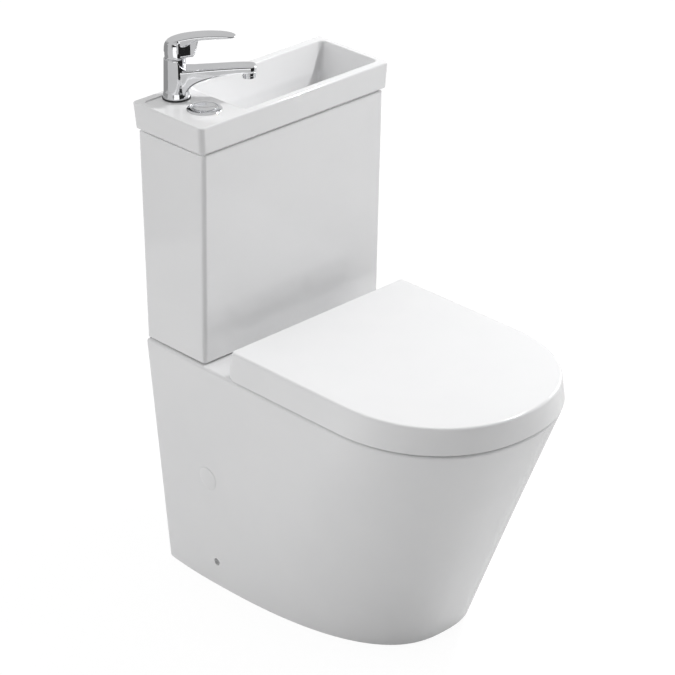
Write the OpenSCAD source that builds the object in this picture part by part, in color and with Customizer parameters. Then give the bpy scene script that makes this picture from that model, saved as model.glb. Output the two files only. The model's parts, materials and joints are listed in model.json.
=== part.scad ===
// Close-coupled toilet with a hand basin set on its cistern.
// Millimetres. The origin is on the floor, under the middle of the object, with +Z up.
// -Y is the front, where the pan's nose is, and +Y is the wall side.

/* [Pan] */
// Projection from the wall to the front of the lid
overall_d = 635; // [600:1:680]
// Height of the pan's rim above the floor
pan_h = 405; // [385:1:430]
// Width of the rim
rim_w = 377; // [360:1:400]
// Width of the pan's top at the wall
rim_back_w = 367; // [350:1:390]
// Length of the rim's straight sides
rim_straight = 428; // [400:1:450]
// Projection of the pan's foot
foot_d = 468; // [430:1:500]
// Width of the foot
foot_w = 319; // [300:1:340]
// Width of the foot at the wall
foot_back_w = 306; // [290:1:330]
// Length of the foot's straight sides
foot_straight = 100; // [60:1:140]
// Thickness of the ceramic skirt
pan_wall = 12; // [8:0.5:16]
// Thickness of the ceramic deck
deck_t = 16; // [12:0.5:20]
// Thickness of the bowl and trap walls
bowl_wall = 9; // [7:0.5:12]
// Width of the bowl's mouth
bowl_w = 256; // [220:1:280]
// Distance from the wall to the back of the bowl
bowl_back = 262; // [250:1:290]
// Distance from the front of the lid to the front of the bowl
rim_front_w = 45; // [39:1:75]
// Height of the outlet's centre above the floor
outlet_h = 180; // [160:1:200]
// Outer diameter of the outlet spigot
spigot_d = 102; // [98:0.5:110]
// Length of the outlet spigot
spigot_len = 60; // [40:1:70]
// Distance from the wall to the spigot's end
spigot_end = 95; // [70:1:110]
// Diameter of the floor fixing holes
fixing_hole_d = 12; // [8:0.5:14]
// Height of the floor fixing holes
fixing_hole_h = 46.5; // [35:0.5:60]
// Distance from the wall to the floor fixing holes
fixing_hole_back = 126; // [100:1:140]
// Diameter of the side caps
cap_d = 39; // [30:0.5:50]
// Height of the side caps
cap_h = 200; // [170:1:230]
// Distance from the wall to the side caps
cap_back = 122; // [100:1:150]

/* [Seat and lid] */
// Height of the lid's top above the floor, less the pan's height
lid_rise = 45; // [40:0.5:55]
// Distance from the wall to the back of the lid
lid_back = 194.4; // [190:0.2:210]
// Amount that the lid's lower edge stands out past the pan's rim, each side
lid_overhang = 1.1; // [0:0.1:4]
// Amount that the lid tapers from its lower edge to its top, each side
lid_taper = 10; // [4:0.5:14]
// Thickness of the lid's skin
lid_wall = 4.5; // [3:0.5:6]
// Gap between the pan's rim and the lid's lower edge
lid_gap = 3; // [2:0.5:5]
// Thickness of the seat ring
seat_t = 19; // [15:0.5:21]
// Height of the seat ring above the rim
seat_lift = 5; // [4:0.5:7]
// Width of the seat's opening
seat_hole_w = 222; // [200:1:240]
// Length of the seat's opening
seat_hole_l = 290; // [260:1:310]
// Radius of the lid's back edge about its hinge line
hinge_r = 19.6; // [17:0.2:21]
// Diameter of the hinge pins
hinge_pin_d = 8; // [6:0.5:10]
// Distance from the middle to each hinge post
hinge_x = 77.5; // [70:0.5:90]
// Width of a hinge post
hinge_post_w = 22; // [18:0.5:26]

/* [Cistern] */
// Amount that the cistern stands in from the basin's ends, each side
cistern_inset = 7.5; // [4:0.5:12]
// Depth of the cistern at its top, from the wall
cistern_d = 149; // [140:0.5:150]
// Depth of the cistern at its foot, from the wall
cistern_foot_d = 135.5; // [125:0.5:140]
// Height of the cistern
cistern_h = 349; // [330:1:370]
// Thickness of the cistern's walls
cistern_wall = 8; // [6:0.5:9]
// Thickness of the cistern's floor
cistern_floor = 12; // [10:0.5:16]
// Gap between the pan and the cistern
cistern_gap = 3; // [2:0.5:5]
// Gap between the cistern and the wall
cistern_back = 3; // [1:0.5:5]
// Distance from the wall to the flush valve and the cistern bolts
valve_back = 72; // [68:0.5:76]
// Distance from the middle to each cistern bolt
bolt_x = 78; // [72:1:90]
// Diameter of the cistern bolts
bolt_d = 8; // [6:0.5:10]
// Distance from the middle to the fill valve
fill_x = 130; // [120:1:140]
// Outer diameter of each water inlet
inlet_d = 20.6; // [20:0.1:22]
// Distance from the middle to the tap's hot inlet
hot_inlet_x = -130; // [-134:1:-124]
// Distance from the middle to the tap's cold inlet
cold_inlet_x = -90; // [-94:1:-88]
// Distance from the wall to the tap inlets
tap_inlet_back = 44; // [40:1:48]

/* [Basin] */
// Width of the basin
basin_w = 380; // [370:1:400]
// Depth of the basin, from the wall
basin_d = 154; // [150:0.5:165]
// Height of the basin's outer band
basin_band_h = 43; // [36:0.5:50]
// Width of the front and back rims
basin_rim = 14.5; // [12:0.5:16]
// Width of the rims at the two ends
basin_end_rim = 8.5; // [7:0.5:12]
// Distance from the basin's left end to the bowl's left edge
bowl_from_end = 94; // [90:1:102]
// Depth of the basin's bowl
basin_depth = 95; // [80:1:100]
// Thickness of the basin's ceramic
basin_wall = 7; // [6:0.5:9]
// Depth of the tap deck below the rim
deck_drop = 1.4; // [0.6:0.2:3]
// Distance from the basin's right end to the waste
waste_from_end = 115; // [105:1:122]
// Diameter of the waste hole
waste_d = 42; // [38:1:46]

/* [Tap and button] */
// Distance from the basin's left end to the tap and the button
tap_from_end = 58; // [54:0.5:62]
// Distance from the wall to the tap's axis
tap_back = 33; // [32:0.5:36]
// Angle between the basin's width and the spout
tap_angle = 43; // [30:1:60]
// Distance from the tap's axis to the aerator's axis
spout_reach = 108; // [95:1:115]
// Diameter of the tap's foot
tap_foot_d = 42.6; // [40:0.2:46]
// Height of the tap's body above the deck
tap_body_h = 63.5; // [60:0.5:66]
// Height of the lever's top above the deck
tap_h = 101; // [99:0.5:106]
// Distance from the wall to the flush button
button_back = 96; // [92:0.5:100]
// Diameter of the flush button's bezel
button_d = 53; // [48:0.5:58]
// Travel of the two buttons
button_travel = 5; // [3:0.5:6]
// Lift of the flush valve's core
flush_lift = 20; // [12:1:25]

/* [Hidden] */
$fn = 64;

CERAMIC = "white";
PLASTIC = "whitesmoke";
CHROME = "silver";
RUBBER = "dimgray";
eps = 0.5;
clear = 0.3;
run = 0.05;

// Pan
pan_d = overall_d - 1;
bowl_front = overall_d - rim_front_w;
side_n = 4;
front_n = 28;
rim_power = 2.15;
foot_power = 2.6;
rim_round = 6;
foot_round = 3;
deck_under = pan_h - deck_t;
foot_outline = outline(0, foot_back_w, foot_w, foot_straight, foot_d, foot_power, 0, side_n);
rim_outline = outline(0, rim_back_w, rim_w, rim_straight, pan_d, rim_power, 0, side_n);
inner_foot = outline(pan_wall, foot_back_w, foot_w, foot_straight, foot_d, foot_power, pan_wall, side_n);
inner_rim = outline(pan_wall, rim_back_w, rim_w, rim_straight, pan_d, rim_power, pan_wall, side_n);
sump_r = 40;
sump_floor = outlet_h - 58;
trap_r = 28;
spigot_r = spigot_d / 2;
spigot_bore_r = spigot_r - 7;
// Levels of the bowl: half width, distances from the wall to its back and its front, height
bowl_levels = [[sump_r, bowl_back + 68, bowl_back + 168, sump_floor],
    [sump_r + 3, bowl_back + 64, bowl_back + 174, outlet_h - 30],
    [sump_r + 9, bowl_back + 58, bowl_back + 186, outlet_h],
    [bowl_w / 2 - 66, bowl_back + 50, bowl_front - 112, outlet_h + 32],
    [bowl_w / 2 - 40, bowl_back + 36, bowl_front - 72, outlet_h + 70],
    [bowl_w / 2 - 15, bowl_back + 18, bowl_front - 36, pan_h - 105],
    [bowl_w / 2, bowl_back + 2, bowl_front - 8, pan_h - 47],
    [bowl_w / 2 + 1, bowl_back - 1, bowl_front + 1, deck_under],
    [bowl_w / 2 - 2, bowl_back + 2, bowl_front - 2, pan_h]];
// Middle of the trapway from the sump, over the weir, to the spigot: y and height
trap_route = concat([for (p = [[123, -26], [93, -27], [63, -16], [41, 15], [17, 58], [-10, 78],
    [-38, 70], [-61, 42], [-82, 14]]) [-bowl_back - p.x, outlet_h + p.y]],
    [[10 - spigot_end - spigot_len, outlet_h + 1]]);
channel_w = 62;
channel_r = 21;
spreader_h = 7;
channel_z = pan_h - 55;
channel_low = channel_z - channel_r - bowl_wall;
socket_r = 50;
socket_depth = 22;
socket_z = pan_h - socket_depth;
boss_r = 60;
inlet_hole_r = 18.5;
bolt_hole_r = bolt_d / 2 + 2;
stud_d = 6;
stud_below = 18;
stud_above = 10;
cap_seat = 0.5;
cap_lip = 2.5;
cap_t = 1.2;
skirt_lean = atan((rim_w - foot_w) / 2 / pan_h);

// Seat and lid
lid_w = rim_w + 2 * lid_overhang;
lid_z = pan_h + lid_gap;
lid_top = pan_h + lid_rise;
lid_nose = overall_d;
hinge_back = lid_back + hinge_r;
hinge_z = lid_z + hinge_r - 0.5;
seat_z = pan_h + seat_lift;
seat_clear = 6.5;
seat_power = 2.15;
knuckle_r = 9;
seat_back = hinge_back + knuckle_r + 6.5;
post_foot_r = 13;
post_foot_t = 4;
pin_r = hinge_pin_d / 2;
damper_r = 6.5;
knuckle_w = 21;
lid_knuckle_w = 16;
hinge_gap = 0.4;
buffer_r = 6;

seat_buffer_at = [[152, 320], [135, 510]];
lid_buffer_at = [[140, 300], [118, 520]];

// Cistern
cistern_w = basin_w - 2 * cistern_inset;
cistern_z = pan_h + cistern_gap;
cistern_top = cistern_z + cistern_h;
cistern_round = 7;
floor_z = cistern_z + cistern_floor;
washer_t = 3;
flange_t = 4;
nut_t = 10;
nut_z = cistern_z - nut_t;
flange_z = floor_z + washer_t;
valve_tail_r = 31;
valve_bore_r = 27;
valve_seat_r = 24;
valve_seal_r = 30;
cage_r = 36;
cage_wall = 3;
cage_h = 170;
core_r = 13;
core_wall = 2.5;
core_skirt_r = 28;
core_rest_z = flange_z + flange_t + 2.5;
inlet_r = inlet_d / 2;
inlet_tail_z = pan_h - 33;
inlet_flange_r = 15.5;
column_r = 9;
column_top = flange_z + 215;
float_r = 24;
float_h = 60;
float_z = flange_z + 77;
float_travel = 45;
hose_r = 5.5;

// Basin
basin_bowl_left = basin_w / 2 - bowl_from_end;
waste_x = basin_w / 2 - waste_from_end;
tap_x = tap_from_end - basin_w / 2;
basin_z = cistern_top;
basin_top = basin_z + basin_band_h;
basin_draft = 2.3;
deck_z = basin_top - deck_drop;
basin_deck_t = 11;
deck_low = basin_top - basin_deck_t - 1;
skirt_wall = 10;
bowl_floor = basin_top - basin_depth;
bowl_slope_run = 106;
bowl_tuck = 16;
bowl_round = 9;
// The bowl tucks in under the rim so that it passes inside the cistern's walls
bowl_left_x = [[bowl_floor, bowl_slope_run - basin_bowl_left], [basin_top, -basin_bowl_left]];
bowl_right_x = [[bowl_floor, basin_w / 2 - basin_end_rim - bowl_tuck - 3],
    [basin_z, basin_w / 2 - basin_end_rim - bowl_tuck], [basin_top, basin_w / 2 - basin_end_rim]];
bowl_back_y = [[bowl_floor, -basin_rim - 16], [basin_z, -basin_rim - 12], [basin_top, -basin_rim]];
bowl_front_y = [[bowl_floor, basin_rim + 11 - basin_d], [basin_z, basin_rim + 8 - basin_d],
    [basin_top, basin_rim - basin_d]];
waste_y = -79;
waste_r = waste_d / 2;
waste_seal_z = bowl_floor - basin_wall - washer_t;

// Tap
tap_hole_r = 17;
tap_top_r = 17.2;
seal_t = 2;
pivot_h = tap_body_h + 6;
collar_r = 15.8;
collar_wall = 1.8;
collar_hole_r = 11.5;
collar_skirt_r = 15.6;
collar_low = tap_body_h - 19;
handle_r = 17.3;
handle_rest = tap_body_h + 0.5;
handle_tilt = 11;
cartridge_r = 13.8;
cartridge_h = 20;
cartridge_z = tap_body_h - cartridge_h - 7;
tap_stud_y = 11;
tap_stud_r = 3.5;
clamp_z = deck_drop - basin_deck_t - 4;
spindle_h = 20;
screw_h = pivot_h + 14;
screw_r = 2.6;
plug_t = 3;
neck_reach = 33.4;
aerator_r = 10.4;
aerator_z = 31;
spout_low = 40.2;
spout_top = 51.5;
channel_in_spout_r = 3;
// Spout sections: distance out, lower edge, upper edge, width
spout_sections = [[4, 6, 46, 32], [14, 10, 47, 33], [22, 20, 47.5, 32], [32, 26.5, 48, 30.5],
    [48, 32, 49, 28.5], [70, 37, 50.2, 27.5], [spout_reach - 14, spout_low, spout_top - 0.2, 27],
    [spout_reach + 2, spout_low, spout_top, 25.5],
    [spout_reach + 8, spout_low + 0.3, spout_top - 0.3, 20.5],
    [spout_reach + 11.5, spout_low + 2.4, spout_top - 2, 12]];
// Edge of the body's top where it dips in front to meet the spout: distance out, height
scoop = [[3, tap_body_h + eps], [5, tap_body_h - 3], [8, tap_body_h - 9], [12, tap_body_h - 13.5],
    [18, tap_body_h - 15.7], [30, tap_body_h - 16.2], [40, tap_body_h - 14], [40, tap_body_h + eps]];
// Lever sections: distance out, lower and upper edges from the lever's top, width
lever_sections = [[-12, -17, -12, 18], [-6, -17, -9, 25], [4, -17, -6, 29],
    [16, -15, -3.4, 29], [32, -8, -1.2, 27.5], [50, -6.2, -0.2, 26.5],
    [68, -6, -0.6, 25], [80, -6.2, -1.8, 22], [87, -5.8, -3.2, 16], [90, -5.2, -4, 9]];
// Sections of the neck in front of the handle's drum, in the same way
neck_sections = [[4, -35, -7, 32], [8, -35, -6.6, 30], [23.5, -34.5, -4.4, 20.5], [27, -34, -4, 20.5],
    [30, -29, -3.5, 20.5], [neck_reach - 0.4, -19, -3, 20], [neck_reach + 1.6, -11, -3, 19]];

// Button
button_r = button_d / 2;
sleeve_r = 22.5;
housing_r = 19.8;
button_hole_r = 23.5;
bezel_t = 3;
bezel_bore_r = 20.4;
button_face_r = 18.2;
button_t = 7;
button_z = deck_z + bezel_t + 0.8;
housing_z = deck_z - 62;
housing_floor = 3;
spring_r = 5;
spring_bore_r = 3.6;
stem_r = 3;
spring_x = 8.5;
button_split = 0.4;
cable_r = 3;

// Routes of the hoses and the cable
hose_n = 12;
hose_reach = 110;
hose_spread = 8;
tap_inlet_h = 22;
hose_low = flange_z + tap_inlet_h + 0.2;
hose_high = deck_z + seal_t - 0.3;
hot_tail = turned([-hose_spread, -1]);
cold_tail = turned([hose_spread, -1]);
hot_route = bend([hot_inlet_x, -tap_inlet_back, hose_low], [hot_tail.x, hot_tail.y, hose_high],
    hose_reach, hose_n);
cold_route = bend([cold_inlet_x, -tap_inlet_back, hose_low], [cold_tail.x, cold_tail.y, hose_high],
    hose_reach, hose_n);
cage_top = flange_z + flange_t + cage_h + 4;
cable_x = -28;
cable_route = bend([tap_x, -button_back, housing_z - 0.2], [cable_x, -valve_back, cage_top + 0.2],
    -90, 24);

// Outline with a straight back edge and a round front, anticlockwise from the left end of the back
function side_w(u, back_w, full_w) = back_w + (full_w - back_w) * (1 - pow(1 - u, 2));
function power(c, n) = sign(c) * pow(abs(c), 2 / n);
function outline(back, back_w, full_w, straight, d, n, inset, sides) = concat(
    [for (i = [0:sides - 1]) let (u = i / sides)
        [inset - side_w(u, back_w, full_w) / 2, -back - (straight - back) * u]],
    [for (i = [0:front_n]) let (a = 180 * i / front_n, front = d - straight - inset)
        [(inset - full_w / 2) * power(cos(a), n), -straight - front * pow(sin(a), 2 / n)]],
    [for (i = [sides - 1:-1:0]) let (u = i / sides)
        [side_w(u, back_w, full_w) / 2 - inset, -back - (straight - back) * u]]);
function blend(a, b, t) = [for (i = [0:len(a) - 1]) a[i] * (1 - t) + b[i] * t];
function at_z(outline, z) = [for (p = outline) [p.x, p.y, z]];
// Moves each point of an outline towards a centre by a distance
function shrink(outline, d, c) = [for (p = outline) p - (p - c) * d / norm(p - c)];
function pan_level(z) = blend(foot_outline, rim_outline, z / pan_h);
function inner_level(z) = blend(inner_foot, inner_rim, z / pan_h);
// Rectangle with rounded corners, anticlockwise
function rounded(x0, x1, y0, y1, r, n = 4) = concat(
    [for (i = [0:n]) let (a = 90 + 90 * i / n) [x0 + r + r * cos(a), y1 - r + r * sin(a)]],
    [for (i = [0:n]) let (a = 180 + 90 * i / n) [x0 + r + r * cos(a), y0 + r + r * sin(a)]],
    [for (i = [0:n]) let (a = 270 + 90 * i / n) [x1 - r + r * cos(a), y0 + r + r * sin(a)]],
    [for (i = [0:n]) let (a = 90 * i / n) [x1 - r + r * cos(a), y1 - r + r * sin(a)]]);
// Egg-shaped level of the bowl: half width, back and front distances, height
function egg(w, back, front, z, n = 40) = let (mid = (back + front) / 2, l = (front - back) / 2)
    [for (i = [0:n - 1]) let (a = 360 * i / n)
        [-w * sin(a) * (1 - 0.06 * cos(a)), -mid + l * cos(a), z]];
function section(s, low, high, w, r) =
    [for (p = rounded(-w / 2, w / 2, low, high, r, 3)) [s, p.x, p.y]];
// Rings of a tube that follows a route
function tangent(p, i) =
    let (a = p[max(i - 1, 0)], b = p[min(i + 1, len(p) - 1)]) (b - a) / norm(b - a);
function tube_ring(c, t, r, n) = let (side = abs(t.x) < 0.9 ? [1, 0, 0] : [0, 1, 0],
    u = cross(t, side) / norm(cross(t, side)), v = cross(t, u))
    [for (i = [0:n - 1]) let (a = 360 * i / n) c + r * (u * cos(a) + v * sin(a))];
function tube(route, r, n) =
    [for (i = [0:len(route) - 1]) tube_ring(route[i], tangent(route, i), r, n)];
// A smooth curve through the points of a route, with equal steps between them
function spline(p, i, t) =
    let (a = p[max(i - 1, 0)], b = p[i], c = p[i + 1], d = p[min(i + 2, len(p) - 1)])
    0.5 * (2 * b + (c - a) * t + (2 * a - 5 * b + 4 * c - d) * t * t
        + (3 * b - a - 3 * c + d) * t * t * t);
function smooth(p, steps) = concat(
    [for (i = [0:len(p) - 2]) for (j = [0:steps - 1]) spline(p, i, j / steps)],
    [p[len(p) - 1]]);
// A route between two points that is upright at both ends
function bend(a, b, reach, n) = [for (i = [0:n]) let (t = i / n, u = 1 - t)
    pow(u, 3) * a + 3 * u * u * t * (a + [0, 0, reach]) + 3 * u * t * t * (b - [0, 0, reach])
        + pow(t, 3) * b];
// Place on the tap's turned axes, as seen from above
function turned(p) = [tap_x + p.x * cos(tap_angle) + p.y * sin(tap_angle),
    -tap_back - p.x * sin(tap_angle) + p.y * cos(tap_angle)];

// Solid through a stack of outlines that have equally many points
module skin(rings) {
    n = len(rings[0]);
    m = len(rings);
    points = [for (r = rings) for (p = r) p];
    sides = [for (k = [0:m - 2]) for (i = [0:n - 1]) let (j = (i + 1) % n, a = k * n, b = a + n)
        each [[b + i, b + j, a + j], [b + i, a + j, a + i]]];
    polyhedron(points, concat([[for (i = [0:n - 1]) i]], sides, [[for (i = [n - 1:-1:0]) (m - 1) * n + i]]));
}

// Everything below is placed by its distance from the wall, which is y = 0 there
module from_wall() {
    translate([0, overall_d / 2, 0]) children();
}

module both_sides() {
    children();
    mirror([1, 0, 0]) children();
}

module ring(outer, bore, z0, z1) {
    difference() {
        translate([0, 0, z0]) cylinder(r = outer, h = z1 - z0);
        translate([0, 0, z0 - eps]) cylinder(r = bore, h = z1 - z0 + 2 * eps);
    }
}

module hex_nut(across, bore, z0, z1) {
    difference() {
        translate([0, 0, z0]) cylinder(r = across / 2 / cos(30), h = z1 - z0, $fn = 6);
        translate([0, 0, z0 - eps]) cylinder(r = bore, h = z1 - z0 + 2 * eps);
    }
}

module wing_nut(bore, z0, z1, span) {
    difference() {
        union() {
            translate([0, 0, z0]) cylinder(r = bore + 4, h = z1 - z0);
            translate([-span / 2, -1.5, z0]) cube([span, 3, z1 - z0 - 3]);
        }
        translate([0, 0, z0 - eps]) cylinder(r = bore, h = z1 - z0 + 2 * eps);
    }
}

// ---- Pan ----

module pan_outer() {
    skin([
        at_z(shrink(pan_level(0), foot_round, [0, -foot_straight]), 0),
        at_z(pan_level(foot_round), foot_round),
        at_z(pan_level(pan_h / 2), pan_h / 2),
        at_z(pan_level(pan_h - rim_round), pan_h - rim_round),
        at_z(shrink(pan_level(pan_h - 1.8), 1.8, [0, -rim_straight / 2]), pan_h - 1.8),
        at_z(shrink(pan_level(pan_h), rim_round, [0, -rim_straight / 2]), pan_h)]);
}

module pan_hollow() {
    skin([
        at_z(inner_level(-eps), -eps),
        at_z(inner_level(pan_h / 2), pan_h / 2),
        at_z(inner_level(deck_under), deck_under)]);
}

// The back is open between the skirts, for the outlet and the supplies
module pan_back_opening() {
    opening_w = foot_back_w - 4 * pan_wall;
    translate([-opening_w / 2, -2 * pan_wall, -eps]) cube([opening_w, 3 * pan_wall, deck_under - 50]);
}

// The first levels of the bowl, with a wall of a given thickness round it; the last level is raised
module bowl(grow, levels, raise) {
    skin([for (i = [0:levels - 1]) let (s = bowl_levels[i])
        egg(s[0] + grow, s[1] - grow, s[2] + grow,
            s[3] - (i == 0 ? grow : 0) + (i == levels - 1 ? raise : 0))]);
}

module bowl_outside() {
    bowl(bowl_wall, len(bowl_levels) - 1, 0);
}

module trap(r) {
    skin(tube(smooth([for (p = trap_route) [0, p.x, p.y]], 2), r, 20));
}

module along_wall(y, z, r, len) {
    translate([0, y, z]) rotate([90, 0, 0]) cylinder(r = r, h = len);
}

module inlet_places() {
    translate([fill_x, -valve_back, 0]) children();
    for (x = [hot_inlet_x, cold_inlet_x]) translate([x, -tap_inlet_back, 0]) children();
}

module bolt_places() {
    both_sides() translate([bolt_x, -valve_back, 0]) children();
}

module hinge_places() {
    both_sides() translate([hinge_x, -hinge_back, 0]) children();
}

// Half width of the skirt's outside at a distance from the wall and a height
function skirt_x(back, z) = let (t = z / pan_h)
    side_w(min(back / (foot_straight + (rim_straight - foot_straight) * t), 1),
        foot_back_w + (rim_back_w - foot_back_w) * t, foot_w + (rim_w - foot_w) * t) / 2;

module at_cap() {
    translate([skirt_x(cap_back, cap_h), -cap_back, cap_h]) rotate([0, 90 + skirt_lean, 0]) children();
}

// The outer shell: the skirt and the deck
module pan_body() {
    from_wall() color(CERAMIC) difference() {
        pan_outer();
        pan_hollow();
        pan_back_opening();
        bowl(0, len(bowl_levels), eps);
        translate([0, -valve_back, deck_under - eps]) cylinder(r = socket_r, h = deck_t + 2 * eps);
        bolt_places() translate([0, 0, deck_under - eps]) cylinder(r = bolt_hole_r, h = deck_t + 2 * eps);
        inlet_places() translate([0, 0, deck_under - eps]) cylinder(r = inlet_hole_r, h = deck_t + 2 * eps);
        hinge_places() translate([0, 0, deck_under - eps]) cylinder(r = stud_d / 2 + 3, h = deck_t + 2 * eps);
        both_sides() at_cap() translate([0, 0, -2 * pan_wall])
            cylinder(r = cap_d / 2 - cap_lip, h = 3 * pan_wall);
        both_sides()
            translate([skirt_x(fixing_hole_back, fixing_hole_h), -fixing_hole_back, fixing_hole_h])
            rotate([0, 90, 0]) cylinder(d = fixing_hole_d, h = 4 * pan_wall, center = true);
    }
}

// The bowl hangs from the deck; the flush water enters it through slots at the back
module pan_bowl() {
    from_wall() color(CERAMIC) difference() {
        bowl_outside();
        bowl(0, len(bowl_levels) - 1, eps);
        trap(trap_r);
        for (dz = [-12:12:12])
            let (half = sqrt(pow(channel_r, 2) - pow(abs(dz) + spreader_h / 2, 2)))
            translate([-half, -bowl_back - 3 * bowl_wall, channel_z + dz - spreader_h / 2])
            cube([2 * half, 6 * bowl_wall, spreader_h]);
    }
}

module pan_trap() {
    from_wall() color(CERAMIC) difference() {
        union() {
            trap(trap_r + bowl_wall);
            along_wall(-spigot_end, outlet_h, spigot_r, spigot_len);
        }
        trap(trap_r);
        along_wall(eps - spigot_end, outlet_h, spigot_bore_r, spigot_len + eps - 6);
        bowl_outside();
    }
}

// Carries the flush water from the cistern's outlet to the back of the bowl
module flush_channel() {
    from_wall() color(CERAMIC) difference() {
        union() {
            translate([0, -valve_back, channel_low]) cylinder(r = boss_r, h = deck_under - channel_low);
            translate([-channel_w / 2, -bowl_back - bowl_wall, channel_low])
                cube([channel_w, bowl_back - valve_back, deck_under - channel_low]);
        }
        bowl_outside();
        along_wall(-valve_back, channel_z, channel_r, bowl_back - valve_back + 8);
        translate([0, -valve_back, channel_z - channel_r])
            cylinder(r = valve_bore_r, h = socket_z - channel_z + channel_r + eps);
        translate([0, -valve_back, socket_z]) cylinder(r = socket_r, h = socket_depth);
    }
}

module side_caps() {
    from_wall() color(PLASTIC) both_sides() at_cap() {
        translate([0, 0, cap_seat]) cylinder(r = cap_d / 2, h = cap_t);
        translate([0, 0, -pan_wall]) cylinder(r = cap_d / 2 - cap_lip - clear, h = pan_wall + cap_seat + eps);
    }
}

// ---- Seat and lid ----

function lid_level(t, inset, back_inset) = let (w = lid_w - 2 * lid_taper * t)
    outline(lid_back + back_inset, w, w, rim_straight + 5 * t, lid_nose - 1.4 * t, seat_power, inset, 1);

module along_x(x, y, z, r, len) {
    translate([x, y, z]) rotate([0, 90, 0]) cylinder(r = r, h = len);
}

module seat_ring() {
    seat_w = lid_w - 2 * (lid_wall + seat_clear);
    seat_nose = lid_nose - lid_wall - seat_clear;
    knuckle_x = hinge_x + hinge_post_w / 2 + hinge_gap;
    from_wall() color(PLASTIC) difference() {
        union() {
            translate([0, 0, seat_z]) linear_extrude(seat_t)
                polygon(outline(seat_back, seat_w, seat_w, rim_straight, seat_nose, seat_power, 0, 1));
            both_sides() along_x(knuckle_x, -hinge_back, hinge_z, knuckle_r, knuckle_w);
            both_sides() translate([knuckle_x, -seat_back - eps, seat_z + 4])
                cube([knuckle_w, seat_back - hinge_back + eps, seat_t - 4]);
        }
        translate([0, -(bowl_back + bowl_front) / 2, seat_z - eps]) linear_extrude(seat_t + 2 * eps)
            polygon([for (a = [0:7.5:352.5]) [seat_hole_w / 2 * cos(a), seat_hole_l / 2 * sin(a)]]);
        both_sides() along_x(knuckle_x - eps, -hinge_back, hinge_z, damper_r + run, knuckle_w + 2 * eps);
    }
}

module seat_lid() {
    knuckle_x = hinge_x - hinge_post_w / 2 - hinge_gap - lid_knuckle_w;
    from_wall() color(PLASTIC) difference() {
        union() {
            difference() {
                skin([
                    at_z(lid_level(0, 0, 0), lid_z),
                    at_z(lid_level(0.9, 0, 0), lid_top - 4),
                    at_z(lid_level(1, 1, 1), lid_top - 1),
                    at_z(lid_level(1, 4, 4), lid_top)]);
                skin([
                    at_z(lid_level(0, lid_wall, lid_wall), lid_z - eps),
                    at_z(lid_level(0.9, lid_wall, lid_wall), lid_top - lid_wall)]);
            }
            both_sides() along_x(knuckle_x, -hinge_back, hinge_z, knuckle_r, lid_knuckle_w);
            both_sides() translate([knuckle_x, -hinge_back - knuckle_r, hinge_z])
                cube([lid_knuckle_w, 2 * knuckle_r, lid_top - lid_wall - hinge_z + eps]);
        }
        both_sides() along_x(knuckle_x - eps, -hinge_back, hinge_z, pin_r + run, lid_knuckle_w + 2 * eps);
        // Notches that let the back wall swing past the hinge posts
        hinge_places() translate([-post_foot_r - 1.5, knuckle_r + 1, lid_z - eps])
            cube([2 * post_foot_r + 3, hinge_r, lid_rise - lid_gap - lid_wall - 1 + eps]);
        translate([-lid_w / 2 - 1, -hinge_back, hinge_z]) rotate([90, 0, 90]) linear_extrude(lid_w + 2)
            polygon(concat([for (i = [0:10]) let (a = 9 * i) hinge_r * [cos(a), -sin(a)]],
                [[0, -hinge_r - 2], [hinge_r + 2, -hinge_r - 2], [hinge_r + 2, 0]]));
    }
}

module hinge_posts() {
    from_wall() color(CHROME) hinge_places() difference() {
        union() {
            translate([0, 0, pan_h]) cylinder(r = post_foot_r, h = post_foot_t);
            translate([-hinge_post_w / 2, -knuckle_r, pan_h])
                cube([hinge_post_w, 2 * knuckle_r, hinge_z - pan_h]);
            along_x(-hinge_post_w / 2, 0, hinge_z, knuckle_r, hinge_post_w);
        }
        along_x(-hinge_post_w / 2 - eps, 0, hinge_z, pin_r + run, hinge_post_w + 2 * eps);
        translate([0, 0, pan_h - eps]) cylinder(r = stud_d / 2, h = stud_above + eps);
    }
}

module hinge_pins() {
    from_wall() color(CHROME) hinge_places()
        along_x(-hinge_post_w / 2 - hinge_gap - lid_knuckle_w, 0, hinge_z, pin_r,
            hinge_post_w + 2 * hinge_gap + lid_knuckle_w + knuckle_w);
}

module soft_close_dampers() {
    from_wall() color(PLASTIC) hinge_places() difference() {
        along_x(hinge_post_w / 2 + hinge_gap, 0, hinge_z, damper_r, knuckle_w);
        along_x(hinge_post_w / 2 + hinge_gap - eps, 0, hinge_z, pin_r + run / 2, knuckle_w + 2 * eps);
    }
}

module hinge_studs() {
    from_wall() color(CHROME) hinge_places() translate([0, 0, deck_under - stud_below])
        cylinder(d = stud_d, h = deck_t + stud_below + stud_above);
}

module hinge_washers() {
    from_wall() color(RUBBER) hinge_places()
        ring(stud_d / 2 + 8, stud_d / 2 + run, deck_under - washer_t, deck_under);
}

module hinge_wing_nuts() {
    from_wall() color(PLASTIC) hinge_places()
        wing_nut(stud_d / 2 + run, deck_under - washer_t - nut_t, deck_under - washer_t, 32);
}

module seat_buffers() {
    from_wall() color(RUBBER) both_sides() for (p = seat_buffer_at)
        translate([p.x, -p.y, pan_h + 0.1]) cylinder(r = buffer_r, h = seat_lift - 0.1);
}

module lid_buffers() {
    from_wall() color(RUBBER) both_sides() for (p = lid_buffer_at)
        translate([p.x, -p.y, seat_z + seat_t + 0.1])
            cylinder(r = buffer_r - 1, h = lid_top - lid_wall - seat_z - seat_t - 0.1);
}

// ---- Cistern ----

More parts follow.
